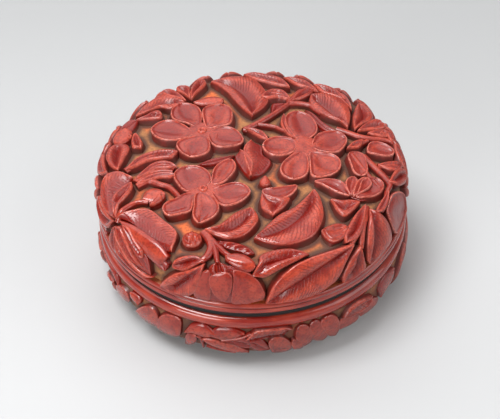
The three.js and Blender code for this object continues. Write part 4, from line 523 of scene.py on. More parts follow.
def on_lid(x, y, rise):
    """Puts places of the lid's flat map on the lid: rise is 0 on the ground and 1 on the outer form."""
    radius, height = under(LID_FORM, -1, np.hypot(x, y), RELIEF_DEPTH * (1 - rise))
    return round_the_axis(radius, height, np.arctan2(y, x))


def on_base(x, y, rise):
    """Puts places of the strip round the base on the base, where the carving gets lower towards the foot."""
    low = np.minimum(1, (y + LOW_RELIEF_HEIGHT / 2) / LOW_RELIEF_HEIGHT)
    lift = np.where(rise > 0, rise * low, rise)
    radius, height = under(BASE_FORM, 1, y, RELIEF_DEPTH * (1 - lift))
    return round_the_axis(radius, height, x / BELLY_RADIUS - TURN / 4)


def pairs(flat, scale):
    """A row of shares x, y, x, y as map points in millimetres."""
    return np.asarray(flat, float).reshape(-1, 2) * scale


def smooth_line(points, count):
    """A smooth line through the points, as evenly spaced ones."""
    points = np.asarray(points, float)
    ends = np.vstack([points[:1], points, points[-1:]])
    step = np.linspace(0, len(points) - 1, (len(points) - 1) * STEPS_BETWEEN_POINTS + 1)
    at = np.minimum(step.astype(int), len(points) - 2)
    w = (step - at)[:, None]
    p0, p1, p2, p3 = (ends[at + k] for k in range(4))
    v1, v2 = (p2 - p0) / 2, (p3 - p1) / 2
    line = (2 * p1 - 2 * p2 + v1 + v2) * w**3 + (3 * p2 - 3 * p1 - 2 * v1 - v2) * w**2 + v1 * w + p1
    length = length_along(line)
    even = np.linspace(0, length[-1], count)
    return np.stack([np.interp(even, length, column) for column in line.T], 1)


def round_ends(left, right, rounds):
    """Rounds off a motif's outline where its two edges meet."""
    rows = len(left)
    loop = np.vstack([left, right[-2:0:-1]])
    for _ in range(rounds):
        loop = (np.roll(loop, 1, 0) + 2 * loop + np.roll(loop, -1, 0)) / 4
    return loop[:rows], np.vstack([loop[:1], loop[rows:][::-1], loop[rows - 1:rows]])


def nearest(places, line):
    """Distance from each place to the nearest point of a line, both on the flat map."""
    gap = places[..., None, :] - line
    return np.sqrt((gap**2).sum(-1).min(-1))


def ease(value, low, high):
    """0 below low, 1 above high, and a smooth step between."""
    share = np.clip((value - low) / (high - low), 0, 1)
    return share * share * (3 - 2 * share)


def quarter_round(share):
    """The height of a quarter round, from 0 at its foot to 1 at its top."""
    return np.sqrt(np.maximum(0, 1 - (1 - share) ** 2))


def rounded_edge(edge, reach):
    """How far a quarter round takes the surface down at a distance from the edge, as a share of its depth."""
    return reach / RELIEF_DEPTH * (1 - quarter_round(np.clip(edge / reach, 0, 1)))


# The rises of the motifs, as shares of the relief's depth, all ask for the same five things
# edge and spine are millimetres from the edge and the midrib, and share goes from 0 to 1 between the two
# across goes from -1 at the left edge to 1 at the right one, and along from 0 at the base to 1 at the tip


def petal_rise(edge, spine, share, across, along):
    """A thin rolled rim round a shallow hollow, which dips along the middle and falls to the heart."""
    hollow = 0.12 * np.clip((edge + spine) / 2.2, 0.3, 1.15) * ease(edge, 0.2, 0.8)
    middle = 0.15 * ease(share, 0.4, 0.95) * ease(along, 0.15, 0.5)
    rim = 0.035 * np.exp(-((edge - 0.26) / 0.15) ** 2)
    return 0.97 - hollow - middle + rim - 0.17 * ease(1 - along, 0.7, 1)


def leaf_rise(edge, spine, share, across, along):
    """Two rounded halves that slope down into a groove along the midrib."""
    wide = ease(edge + spine, 0.5, 2.4)
    swell = 0.16 * np.sin(TURN / 4 * np.clip(share / 0.4, 0, 1))
    groove = (0.08 + 0.06 * wide) * np.exp(-(spine / 0.26) ** 2)
    return 0.84 + swell - 0.40 * wide * ease(share, 0.4, 1) - groove - 0.08 * ease(along, 0.8, 1)


def bud_rise(edge, spine, share, across, along):
    """A plump rounded bud."""
    return 0.62 + 0.34 * quarter_round(share)


def cup_rise(edge, spine, share, across, along):
    """A round bud that has just opened: a rolled rim round a hollow with a knob in it."""
    rim = 0.62 + 0.40 * np.sqrt(np.clip(edge / 0.8, 0, 1))
    return rim - 0.24 * ease(edge, 0.8, 1.3) + 0.16 * np.exp(-(spine / 0.35) ** 2)


def fold_rise(edge, spine, share, across, along, high_side):
    """A leaf turned over on itself: high along one edge and falling to the other."""
    slope = 0.55 * ease((1 + across * high_side) / 2, -0.15, 0.85)
    return 0.42 + slope + 0.04 * np.exp(-((edge - 0.3) / 0.16) ** 2)


def low_rise(edge, spine, share, across, along):
    """A small piece that lies low between its neighbours."""
    return 0.56 + 0.14 * np.sin(TURN / 2 * share)


def lobe_rise(edge, spine, share, across, along):
    """A flat, smooth petal seen from its back, with a soft swell."""
    return 0.80 + 0.08 * np.sin(TURN / 4 * np.clip(share * 1.4, 0, 1)) - 0.12 * ease(along, 0.6, 1)


def bed_rise(edge, spine, share, across, along):
    """A low sheet that joins the petals or leaves lying on it."""
    return 0.66 + 0.05 * np.sin(9 * across + 3 * along) * ease(edge, 0.1, 1.2)


def gloss_rise(edge, spine, share, across, along):
    """The polished, rounded underside of a turned leaf."""
    return 0.45 + 0.42 * quarter_round(share)


def twist_rise(edge, spine, share, across, along):
    """A leaf twisted like a rope."""
    strand = np.abs(np.sin(TURN / 2 * (along * 4.5 + across * 0.6)))
    return 0.60 + 0.3 * strand * ease(edge, 0, 0.8)


def ribbed_rise(edge, spine, share, across, along):
    """A calyx with upright ribs."""
    ribs = np.abs(np.sin(TURN / 2 * across * 3.5))
    return 0.76 + 0.16 * ribs * ease(edge, 0, 0.4) - 0.1 * ease(along, 0.7, 1)


PROFILES = {
    "petal": petal_rise,
    "leaf": leaf_rise,
    "bud": bud_rise,
    "cup": cup_rise,
    "lobe": lobe_rise,
    "bed": bed_rise,
    "low": low_rise,
    "gloss": gloss_rise,
    "twist": twist_rise,
    "ribbed": ribbed_rise,
    "foldleft": partial(fold_rise, high_side=-1),
    "foldright": partial(fold_rise, high_side=1),
}
FLOWERS = ("petal", "ribbed", "lobe", "bed")
LEAVES = ("leaf", "foldleft", "foldright", "gloss", "twist")
SMALL = ("bud", "low", "cup")

# How strongly a kind has a lighter rim, edge wear and partly a painted highlight, how often its ends are
# rounded off, and how deep its veins are
RIMMED = {"petal": 1.0, "foldleft": 0.35, "foldright": 0.35, "cup": 0.6}
ROUND_ENDS = {"petal": 14, "lobe": 12, "bud": 10, "cup": 16, "ribbed": 4}
VEINED = {"leaf": 1.0, "foldleft": 0.8, "foldright": 0.8, "low": 0.3, "lobe": 0.35, "gloss": -1.0}

# Steps over half a motif, from its edge to its midrib, as shares of the way
STEPS_FROM_EDGE = np.array([0, 0.02, 0.05, 0.09, 0.14, 0.2, 0.28, 0.37, 0.48, 0.6, 0.73, 0.87])

# A motif's cut side from its buried foot up: the reach outwards, the share of the edge's rise, and the rest
SIDE_STEPS = ((1, 0, BURIED), (0.8, 0.16, 0), (0.06, 1, -0.06))

# Steps over a stem, as shares of its width, with both of its cut sides
STEM_STEPS = np.array([-0.5, -0.5, -0.47, -0.4, -0.28, -0.12, 0, 0.12, 0.28, 0.4, 0.47, 0.5, 0.5])

# A button from its buried foot inwards: the share of its radius and the rise
BUTTON_PROFILE = ((1, BURIED), (1, 0.7), (0.97, 0.86), (0.9, 0.96), (0.78, 1.02), (0.62, 1.03), (0.45, 1.0),
                  (0.32, 0.9), (0.2, 0.84), (0.08, 0.83))

# What the finish reads from each point of the carving
TRAITS = ("rise", "edge", "veins", "wall", "rim")


def with_sides(flat, rise, ridge, spine):
    """A motif's surface with a cut side at each edge, down to its buried foot."""
    strips = [(flat, rise)]
    for column in (0, -1):
        border, top = flat[:, column, None], rise[:, column, None]
        out = (border - ridge) / (spine[:, column, None, None] + ADDED_HALF_WIDTH) * DRAFT
        side = [(border + out * reach, top * share + rest) for reach, share, rest in SIDE_STEPS]
        strips = side + strips if column == 0 else strips + side[::-1]
    return (np.concatenate(strip, 1) for strip in zip(*strips))


class Relief:
    """Carved motifs gathered as one mesh, each with its sides cut down into the ground."""

    def __init__(self, surface):
        sizes = bpy.context.scene.seal_box_sizes
        self.surface = surface
        self.facet, self.rounding = sizes.facet / MM, sizes.rounding / MM
        self.places, self.flow, self.traits, self.faces, self.caps = [], [], [], [], []
        self.count = 0

    def gather(self, flat, rise, flow, *traits):
        """Puts a grid of map points on the box, closes each row to a ring and joins the rings with faces."""
        index = np.arange(rise.size).reshape(rise.shape) + self.count
        beside = np.roll(index, -1, axis=1)
        self.places.append(self.surface(flat[..., 0], flat[..., 1], rise).reshape(-1, 3))
        self.flow.append(flow.reshape(-1, 2))
        self.traits.append(np.stack(np.broadcast_arrays(rise, *traits), -1).reshape(-1, len(TRAITS)))
        self.faces.append(np.stack([index[:-1], beside[:-1], beside[1:], index[1:]], -1).reshape(-1, 4))
        self.count += rise.size
        return index

    def add(self, kind, left, right, rib=None, lift=0.0):
        """Carves one motif between its two edges, which run from its base to its tip."""
        rows = int(np.clip(length_along(left)[-1] / self.facet, FEWEST_ROWS, MOST_ROWS))
        right = np.vstack([left[:1], right, left[-1:]])
        left, right = round_ends(smooth_line(left, rows), smooth_line(right, rows), ROUND_ENDS.get(kind, 0))
        middle = (left + right) / 2
        if rib is not None:
            middle = smooth_line(np.vstack([left[:1], rib, left[-1:]]), rows)
        ridge = middle[:, None]
        steps = STEPS_FROM_EDGE[:, None]
        near, far = (line[:, None] + (ridge - line[:, None]) * steps for line in (left, right))
        flat = np.concatenate([near, ridge, far[:, ::-1]], 1)
        edge = nearest(flat, np.vstack([smooth_line(left, rows * 4), smooth_line(right, rows * 4)]))
        edge[:, 0] = edge[:, -1] = 0
        spine = nearest(flat, smooth_line(middle[:: max(1, rows // 12)], rows * 3))
        spine = np.minimum(spine, np.linalg.norm(flat - ridge, axis=-1))
        across = np.concatenate([STEPS_FROM_EDGE - 1, [0], (1 - STEPS_FROM_EDGE)[::-1]]) + 0 * edge
        along = np.linspace(0, 1, rows)[:, None] + 0 * edge
        rise = PROFILES[kind](edge, spine, edge / (edge + spine + 1e-6), across, along)
        flat, rise = with_sides(flat, rise + lift - rounded_edge(edge, self.rounding), ridge, spine)
        pad = ((0, 0), (len(SIDE_STEPS), len(SIDE_STEPS)))
        wall = np.pad(0 * edge, pad, constant_values=1)
        edge = np.pad(edge, pad)
        spine, across = (np.pad(values, pad, mode="edge") for values in (spine, across))
        flow = np.stack([length_along(middle)[:, None] + 0 * edge, spine * np.sign(across)], -1)
        veins = VEINED.get(kind, 0) * ease(edge, 0.25, 0.8)
        self.gather(flat, rise, flow, edge, veins, wall, RIMMED.get(kind, 0))

    def add_stem(self, path, width):
        """Carves a rounded stem along a path, a little thinner towards its end."""
        length = length_along(path)[-1]
        rows = int(max(FEWEST_STEM_ROWS, length / self.facet))
        line = smooth_line(path, rows)
        side = left_of(unit(np.gradient(line, axis=0)))
        taper = 1 - STEM_TAPER * np.linspace(0, 1, rows)[:, None]
        flat = line[:, None] + side[:, None] * (STEM_STEPS[:, None] * width * taper[:, None])
        rise = STEM_EDGE_RISE + STEM_ROUNDING * quarter_round(1 - np.abs(2 * STEM_STEPS))
        rise[0] = rise[-1] = BURIED
        run, aside = np.broadcast_arrays(np.linspace(0, length, rows)[:, None], STEM_STEPS * width)
        edge, wall = (0.5 - np.abs(STEM_STEPS)) * width, np.abs(STEM_STEPS) == 0.5
        index = self.gather(flat, rise + 0 * run, np.stack([run, aside], -1), edge, 0, wall, 0)
        self.caps += [index[0], index[-1][::-1]]

    def add_button(self, middle, radius):
        """Carves the round button at a flower's heart, with a dimple in it."""
        turn = np.arange(BUTTON_SIDES) * TURN / BUTTON_SIDES
        reach, rise = (column[:, None] + 0 * turn for column in np.array(BUTTON_PROFILE).T)
        flat = middle + radius * reach[..., None] * np.stack([np.cos(turn), np.sin(turn)], -1)
        index = self.gather(flat, rise, flat, (1 - reach) * radius, 0, reach == 1, 0)
        self.caps += [index[0][::-1], index[-1]]

    def finish(self, name):
        """Makes the mesh with what its finish reads, closes it and turns every face outwards."""
        faces = np.vstack(self.faces).tolist() + [cap.tolist() for cap in self.caps]
        mesh = bpy.data.meshes.new(name)
        mesh.from_pydata(np.vstack(self.places).tolist(), [], faces)
        corners = np.empty(len(mesh.loops), int)
        mesh.loops.foreach_get("vertex_index", corners)
        flow = np.vstack(self.flow)[corners]
        mesh.uv_layers.new(name="flow").data.foreach_set("uv", flow.astype(np.float32).ravel())
        for trait, values in zip(TRAITS, np.vstack(self.traits).T):
            attribute = mesh.attributes.new(trait, "FLOAT", "POINT")
            attribute.data.foreach_set("value", values.astype(np.float32))
        piece = bpy.data.objects.new(name, mesh)
        bpy.context.scene.collection.objects.link(piece)
        bpy.ops.object.select_all(action="DESELECT")
        piece.select_set(True)
        bpy.context.view_layer.objects.active = piece
        bpy.ops.object.mode_set(mode="EDIT")
        close_up(CARVING_SMOOTH_ANGLE)
        return piece


def close_up(angle):
    """Merges the doubles of the mesh in edit mode, turns its faces outwards and smooths it up to an angle."""
    bpy.ops.mesh.select_all(action="SELECT")
    bpy.ops.mesh.remove_doubles(threshold=MERGE_DISTANCE)
    bpy.ops.mesh.normals_make_consistent(inside=False)
    bpy.ops.object.mode_set(mode="OBJECT")
    bpy.ops.object.shade_smooth_by_angle(angle=math.radians(angle))


def read_all(data, key, width=1):
    """One value, or width values, of each item of a mesh's data."""
    values = np.empty(len(data) * width, np.float32)
    data.foreach_get(key, values)
    return values


def mark_corners(ground, carvings):
    """Marks each point of a ground with its distance in millimetres to the nearest carved side's foot."""
    feet = []
    for name in carvings:
        mesh = bpy.data.objects[name].data
        place = read_all(mesh.vertices, "co", 3).reshape(-1, 3)
        rise, wall = (read_all(mesh.attributes[trait].data, "value") for trait in ("rise", "wall"))
        feet.append(place[(wall > 0.5) & (rise < FOOT_RISE)])
    feet = np.vstack(feet)
    tree = kdtree.KDTree(len(feet))
    for number, foot in enumerate(feet.tolist()):
        tree.insert(foot, number)
    tree.balance()
    corner = [tree.find(vertex.co)[2] / MM for vertex in ground.data.vertices]
    ground.data.attributes.new("corner", "FLOAT", "POINT").data.foreach_set("value", corner)


def turned(name, profile, steps=192):
    """Draws a half profile point by point, as radius and height in millimetres, and spins it round."""
    profile = [Vector((radius * MM, 0, height * MM)) for radius, height in profile]
    bpy.ops.object.select_all(action="DESELECT")
    bpy.ops.mesh.primitive_plane_add(size=MM, location=(0, 0, 0))
    piece = bpy.context.object
    piece.name = piece.data.name = name
    bpy.ops.object.mode_set(mode="EDIT")
    bpy.ops.mesh.select_all(action="SELECT")
    bpy.ops.mesh.merge(type="CENTER")
    bpy.ops.transform.translate(value=profile[0])
    for last, point in zip(profile, profile[1:]):
        bpy.ops.mesh.extrude_vertices_move(TRANSFORM_OT_translate={"value": point - last})
    bpy.ops.mesh.select_all(action="SELECT")
    bpy.ops.mesh.spin(steps=steps, angle=TURN, center=(0, 0, 0), axis=(0, 0, 1))
    close_up(TURNING_SMOOTH_ANGLE)
    return piece


def rounded(points, reach):
    """A half profile with each inner corner rounded off."""
    points = np.array(points, float)
    line = [points[0]]
    for before, corner, after in zip(points, points[1:], points[2:]):
        cut = min(reach, np.linalg.norm(corner - before) * 0.45, np.linalg.norm(after - corner) * 0.45)
        start = corner - unit(corner - before) * cut
        end = corner + unit(after - corner) * cut
        for w in np.linspace(0, 1, CORNER_STEPS + 1):
            line.append(start * (1 - w) ** 2 + corner * 2 * w * (1 - w) + end * w**2)
    line.append(points[-1])
    return line


def linear(*screen):
    """A screen colour of 0 to 255 as the linear one that a shader reads."""
    shares = [value / 255 for value in screen]
    return tuple(v / 12.92 if v <= 0.04045 else ((v + 0.055) / 1.055) ** 2.4 for v in shares)


def colour(name, description, screen):
    """A colour that a user can change, with its default as a screen colour."""
    return bpy.props.FloatVectorProperty(name=name, description=description, subtype="COLOR", size=3,
                                         min=0, max=1, default=linear(*screen))


def length(name, description, default):
    """A length in metres that a user can change."""
    return bpy.props.FloatProperty(name=name, description=description, unit="LENGTH", subtype="DISTANCE",
                                   precision=5, min=0.00001, max=0.02, default=default)


class SealBoxSizes(bpy.types.PropertyGroup):
    """Sizes of the finer work, in metres."""

    facet: length("Facet", "Length of one row of faces along a carved motif", 0.00032)
    rounding: length("Edge rounding", "How far the polished edge of a motif is rounded off", 0.00026)
    vein_spacing: length("Vein spacing", "Distance between the fine veins cut into a leaf", 0.00098)
    vein_depth: length("Vein depth", "Depth of the fine veins", 0.00009)


class SealBoxColours(bpy.types.PropertyGroup):
    """Colours of the lacquers, the ground, the wood and the studio."""

    # The tops colour is rubbed wear with a painted sheen in it
    top: colour("Lacquer tops", "Rubbed red lacquer on the high parts", (174, 62, 40))
    # The rims colour is edge wear with a painted highlight in it
    rim: colour("Lacquer rims", "Where handling has polished the edges", (228, 144, 128))
    # The slopes colour also serves as painted shade in the hollows and along midribs
    slope: colour("Lacquer slopes", "Clear deep red lacquer in the hollows", (122, 17, 7))
    # The dirt colour is real dirt in the grain, and painted shade in corners and under the bead
    dirt_and_shade: colour("Dirt", "Old dirt in the corners of the ground", (74, 38, 24))
    # The walls colour is painted shade on the cut sides, with some dirt
    wall: colour("Lacquer walls", "Steep cut sides with old dirt on them", (84, 19, 9))
    ground: colour("Ground", "Ochre ground coat under the red", (170, 110, 62))
    ground_warm: colour("Warm ground", "Patches where the ground is orange", (222, 104, 44))
    # The gap colour is painted shadow deep in the seam under the lid
    gap: colour("Gap at the seam", "Dirt deep in the gap under the lid", (9, 4, 3))
    black: colour("Black lacquer", "Lacquer inside and underneath", (22, 17, 15))
    black_worn: colour("Worn black lacquer", "Where the black has rubbed to brown", (58, 34, 24))
    wood: colour("Wood", "The bare core", (150, 112, 72))
    wood_dark: colour("Wood grain", "Darker rings in the core", (112, 76, 44))
    floor: colour("Floor", "The pale sheet that the box stands on", (181, 182, 183))


class Value:
    """A number, place or colour that a finish reads or works out at each point of a piece."""

    def __init__(self, finish, socket):
        self.finish = finish
        self.socket = socket

    def reckon(self, operation, *others):
        """Works out a value with one of the operations of Blender's math node."""
        return self.finish.value("ShaderNodeMath", dict(enumerate((self, *others))), operation=operation)

    def __add__(self, other):
        return self.reckon("ADD", other)

    def __sub__(self, other):
        return self.reckon("SUBTRACT", other)

    def __mul__(self, other):
        return self.reckon("MULTIPLY", other)

    def __truediv__(self, other):
        return self.reckon("DIVIDE", other)

    def span(self, low, high, to_low=0.0, to_high=1.0):
        """Goes smoothly from one number to another while the value goes from low to high."""
        sockets = {"Value": self, "From Min": low, "From Max": high, "To Min": to_low, "To Max": to_high}
        return self.finish.value("ShaderNodeMapRange", sockets, interpolation_type="SMOOTHSTEP")

    def parts(self):
        """The three parts of a place."""
        node = self.finish.add("ShaderNodeSeparateXYZ", {0: self})
        return [Value(self.finish, socket) for socket in node.outputs]


class Finish:
    """One finish, built up from shader nodes on the piece's own coordinates."""

    def __init__(self, name):
        self.sizes, chosen = bpy.context.scene.seal_box_sizes, bpy.context.scene.seal_box_colours
        self.colours = {key: (*getattr(chosen, key), 1) for key in chosen.__annotations__}
        self.material = bpy.data.materials.new(name)
        self.material.use_nodes = True
        self.tree = self.material.node_tree
        self.tree.nodes.clear()
        self.shader = self.add("ShaderNodeBsdfPrincipled")
        output = self.add("ShaderNodeOutputMaterial")
        self.tree.links.new(self.shader.outputs[0], output.inputs["Surface"])
        self.place = self.value("ShaderNodeTexCoord", output="Object")

    def feed(self, node, sockets):
        """Links each value to its socket of a node, and sets any plain number or colour on it."""
        for key, value in sockets.items():
            if isinstance(value, Value):
                self.tree.links.new(value.socket, node.inputs[key])
            else:
                node.inputs[key].default_value = value

    def add(self, kind, sockets=None, **settings):
        """Adds a node with its settings and feeds it."""
        node = self.tree.nodes.new(kind)
        for key, value in settings.items():
            setattr(node, key, value)
        self.feed(node, sockets or {})
        return node

    def value(self, kind, sockets=None, output=0, **settings):
        """What comes out of a new node."""
        return Value(self, self.add(kind, sockets, **settings).outputs[output])

    def noise(self, scale, detail=3.0, roughness=0.5, stretch=None):
        """Cloudy noise over the piece, finer along an axis where stretch is more than 1."""
        place = self.value("ShaderNodeMapping", {0: self.place, 3: stretch}) if stretch else self.place
        return self.value("ShaderNodeTexNoise", {"Vector": place, "Scale": scale, "Detail": detail,
                                                 "Roughness": roughness}, output="Fac")

    def trait(self, name):
        """What the mesh says at each of its points."""
        return self.value("ShaderNodeAttribute", output="Fac", attribute_name=name)

    def mix(self, share, first, second):
        """Goes from the first colour to the second, each given by its name or as a colour."""
        first, second = (self.colours.get(tint, tint) for tint in (first, second))
        return self.value("ShaderNodeMix", {0: share, 6: first, 7: second}, output=2, data_type="RGBA")

    def layers(self, body, *layers):
        """Lays colours over a body one after the other, each by its own share."""
        for share, tint in layers:
            body = self.mix(share, body, tint)
        return body

    def bump(self, height, distance):
        """A surface that is uneven by a height, which counts for so many metres."""
        return self.value("ShaderNodeBump", {"Height": height, "Distance": distance, "Strength": 1.0})

    def set(self, **sockets):
        """Sets or links the sockets of the finish's shader."""
        self.feed(self.shader, {key.replace("_", " "): value for key, value in sockets.items()})


# Heights in metres between which the base darkens: its carving, both ends of the bead's shadow, its foot
DARK_CARVING = (0.013, 0.014)
SHADOW_FOOT = (0.0115, 0.0131)
SHADOW_TOP = (0.0150, 0.0140)
DARK_FOOT = (0.0128, 0.0105)
BEAD_BLEND = 0.00004

# How much finer the grain of the wood is along each axis, and the side that hands have polished most
WOOD_GRAIN = (40, 420, 420)
HANDLED_SIDE = (-0.5, -0.87, 0)


def carved_lacquer(finish):
    """Cut red lacquer: tops lighter from wear and a painted sheen, painted shade deep red in the hollows and
    on the sides with some dirt, fine cut veins.
    """
    rise, edge, strength, wall, rimmed = (finish.trait(name) for name in TRAITS)
    veins, glossy = strength.span(0, 1), strength.span(0, -0.8)
    clouds, grain, rubbed = finish.noise(70), finish.noise(1800, 4, 0.6), finish.noise(420, 3, 0.55)
    run, aside, _ = finish.value("ShaderNodeUVMap", uv_map="flow").parts()
    away = aside.reckon("ABSOLUTE")
    # High parts get the lighter top colour: rubbed wear, partly a painted sheen
    high = (rise + clouds.span(0.3, 0.7, -0.1, 0.1)).span(0.6, 1.02)
    # Painted shade: petal hollows inside the rim and leaf midrib grooves go deep red
    hollow = edge.span(0.3, 0.55) * edge.span(0.6, 1.3, 1, 0) * rimmed.span(0, 1, 0.1, 0.75)
    midrib = away.span(0.2, 1.6, 1, 0) * veins
    # Rims lighter: edge wear from handling, and a painted highlight along the edges
    rim_wear_and_highlight = edge.span(0.14, 0.36, 1, 0) * rise.span(0.55, 0.8)
    rim_wear_and_highlight = rim_wear_and_highlight * rubbed.span(0.4, 0.6, 0.35, 1) * rimmed.span(0, 1, 0.35, 1)
    wander = finish.noise(190).span(0.2, 0.8, -0.5, 0.5)
    wave = ((run - away * 0.85 + wander) * (TURN / (finish.sizes.vein_spacing / MM))).reckon("SINE")
    cut = wave.span(-1, -0.45, 1, 0) * veins * away.span(0.15, 0.5)
    cut = cut * finish.noise(150, 2).span(0.35, 0.6, 0.25, 1)
    fan = (aside / (run + 1.4) * 26).reckon("SINE").span(-1, -0.2, 1, 0)
    low = finish.place.parts()[2].span(*DARK_CARVING, 1.3, 1)
    body = finish.layers(
        finish.mix(high, "slope", "top"),
        # painted shade in the hollows and along the midribs
        (hollow, "slope"),
        (midrib * 0.85, "slope"),
        # painted highlight and wear on the rims
        (rim_wear_and_highlight * 0.75, "rim"),
        (cut * 0.8, "slope"),
        (fan * rimmed * run.span(1.5, 6, 0.6, 0), "slope"),
        # Painted shade on the steep cut sides, with some dirt
        (wall * rise.span(1.0, 0.5, 0.75, 1), "wall"),
        # Painted shade at the foot of the cut sides, with dirt
        (wall * rise.span(0.6, 0.16, 0, 0.9), "dirt_and_shade"),
        (rubbed.span(0.42, 0.68, 0, 0.6) * low, "slope"),
        (grain.span(0.47, 0.64, 0, 0.5) * low, "wall"),
        (clouds.span(0.45, 0.62, 0, 0.3) * low.span(1, 1.3), "wall"),
    )
    handled = finish.value("ShaderNodeVectorMath", {0: finish.place, 1: HANDLED_SIDE}, output="Value",
                           operation="DOT_PRODUCT")
    glossy = glossy.reckon("MAXIMUM", handled.span(0.014, 0.028))
    rough = clouds.span(0.3, 0.75, 0.31, 0.45) + wall * 0.3 - glossy * 0.2 - rim_wear_and_highlight * 0.08
    height = cut * -1.2 + grain * 0.3 + rubbed * 1.4
    finish.set(Base_Color=body, Roughness=rough, IOR=1.5, Coat_Weight=0.12, Coat_Roughness=0.18,
               Normal=finish.bump(height, finish.sizes.vein_depth))


def plain_lacquer(finish):
    """The plain red beads along the seam and the ochre ground between the motifs, told apart by height."""
    x, y, height = finish.place.parts()
    clouds, grain = finish.noise(60), finish.noise(1500, 4, 0.65)
    rub = finish.noise(150, 4, 0.6, stretch=(1, 1, 5))
    # Painted shade: a dark line along the groove in the lid's bead
    groove = (height - GROOVE_HEIGHT * MM).reckon("ABSOLUTE").span(0.00006, 0.00022, 0.8, 0)
    # Painted shadow: the seam gap under the lid goes nearly black
    seam = (height - GAP_MIDDLE * MM).reckon("ABSOLUTE").span(0.00085, 0.001, 1, 0)
    gap = (x * x + y * y).reckon("SQRT").span(0.03715, 0.03705) * seam
    lacquer = finish.layers(finish.mix(rub.span(0.3, 0.85), "slope", "top"), (groove, "wall"), (gap, "gap"))
    corner = finish.trait("corner") + clouds.span(0.3, 0.7, -0.3, 0.3)
    painted_bead_shadow = height.span(*SHADOW_FOOT) * height.span(*SHADOW_TOP)
    ground = finish.layers(
        finish.mix(finish.noise(85, 2).span(0.46, 0.6), "ground", "ground_warm"),
        (grain.span(0.38, 0.72, 0.1, 0.6), "dirt_and_shade"),
        # Painted shade on the ground near the carved sides, then painted shadow under the bead, and darker
        # towards the foot
        (corner.span(0.15, 1.5, 0.97, 0), "dirt_and_shade"),
        (painted_bead_shadow * 0.75, "dirt_and_shade"),
        (height.span(*DARK_FOOT) * 0.75, "dirt_and_shade"),
    )
    upper, lower = LID_BEAD_TOP * MM, BASE_BEAD_FOOT * MM
    below_top, above_foot = (upper + BEAD_BLEND, upper - BEAD_BLEND), (lower - BEAD_BLEND, lower + BEAD_BLEND)
    on_bead = height.span(*below_top) * height.span(*above_foot)
    rough = (on_bead - gap).span(0, 1, 0.8, 0.13)
    bumps = grain * on_bead.span(0, 1, 1, 0.08) + clouds * 0.5
    finish.set(Base_Color=finish.mix(on_bead, ground, lacquer), Roughness=rough, IOR=1.6,
               Normal=finish.bump(bumps, 0.00012))


def black_lacquer(finish):
    """Thin black lacquer, a little uneven, rubbed brown where hands reach it."""
    clouds, grain = finish.noise(55, 4), finish.noise(700, 3)
    finish.set(Base_Color=finish.mix(clouds.span(0.52, 0.8, 0, 0.8), "black", "black_worn"),
               Roughness=clouds.span(0.3, 0.75, 0.16, 0.34), IOR=1.5,
               Normal=finish.bump(grain + clouds * 3, 0.00004))


def core_wood(finish):
    """Plain softwood with drawn-out grain."""
    rings = finish.noise(1.0, 5, 0.6, stretch=WOOD_GRAIN)
    pores = finish.noise(6.0, 3, 0.6, stretch=WOOD_GRAIN)
    body = finish.layers(finish.mix(rings.span(0.35, 0.65), "wood", "wood_dark"),
                         (pores.span(0.6, 0.8, 0, 0.4), "wood_dark"))
    finish.set(Base_Color=body, Roughness=rings.span(0.3, 0.7, 0.58, 0.78), IOR=1.45,
               Normal=finish.bump(rings + pores * 0.4, 0.0001))


def floor_paper(finish):
    """A pale, slightly uneven sheet, with painted shade making it greyer towards the back."""
    pale = finish.colours["floor"]
    # Painted shade: the floor's colour darkens towards the back
    painted_far_shade = (*(part * 0.74 for part in pale[:3]), 1)
    back = finish.place.parts()[1].span(-0.03, 0.16)
    rough = finish.noise(9, 2).span(0.3, 0.7, 0.85, 0.95)
    finish.set(Base_Color=finish.mix(back, pale, painted_far_shade), Roughness=rough, Specular_IOR_Level=0.2,
               Normal=finish.bump(finish.noise(4000, 2), 0.00001))


FINISHES = {
    "red_carving": carved_lacquer,
    "ground_and_beads": plain_lacquer,
    "black_lining": black_lacquer,
    "bare_wood": core_wood,
    "floor_sheet": floor_paper,
}


def finish_of(name):
    """One of the finishes, made the first time that it is asked for."""
    if name not in bpy.data.materials:
        FINISHES[name](Finish(name))
    return bpy.data.materials[name]


def dress(piece, finish, body, slot, *nodes):
    """Gives a piece its finish, sets it on its half of the box and lets it stand for the solid nodes."""
    piece.data.materials.clear()
    piece.data.materials.append(finish_of(finish))
    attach(piece, body)
    if nodes:
        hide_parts(*nodes)


def dress_lid_coat(piece, finish="red_carving"):
    """Dresses a piece of the lid's coat."""
    dress(piece, finish, "lid", "carved_red_lacquer", "lid_carved_coat")


def dress_base_coat(piece, finish="red_carving"):
    """Dresses a piece of the base's coat."""
    dress(piece, finish, "base", "carved_red_lacquer", "base_carved_coat")


def swollen(left, right, swell):
    """The two edges of a motif moved a little apart."""
    ahead = unit(left[-1] - left[0])
    aside = left_of(ahead)
    aside = aside * (np.sign(((left[1:-1].mean(0) - right.mean(0)) * aside).sum()) or 1.0) * swell
    left, right = left + aside, right - aside
    left[0] -= aside + ahead * swell
    left[-1] -= aside - ahead * swell
    return left, right


def motifs(kinds, rows, scale, surface, swell, shifts=(0.0,)):
    """Carves the rows of a table whose kind is asked for, once for each shift along the strip."""
    carving = Relief(surface)
    for shift in shifts:
        for number, (kind, *edges) in enumerate(rows):
            if kind in kinds:
                left, right, *rib = (pairs(edge, scale) + (shift * scale[0], 0) for edge in edges)
                lift = LIFT_STEP * (number * 3 % 5 - 2)
                carving.add(kind, *swollen(left, right, swell), *(rib or [None]), lift)
    return carving


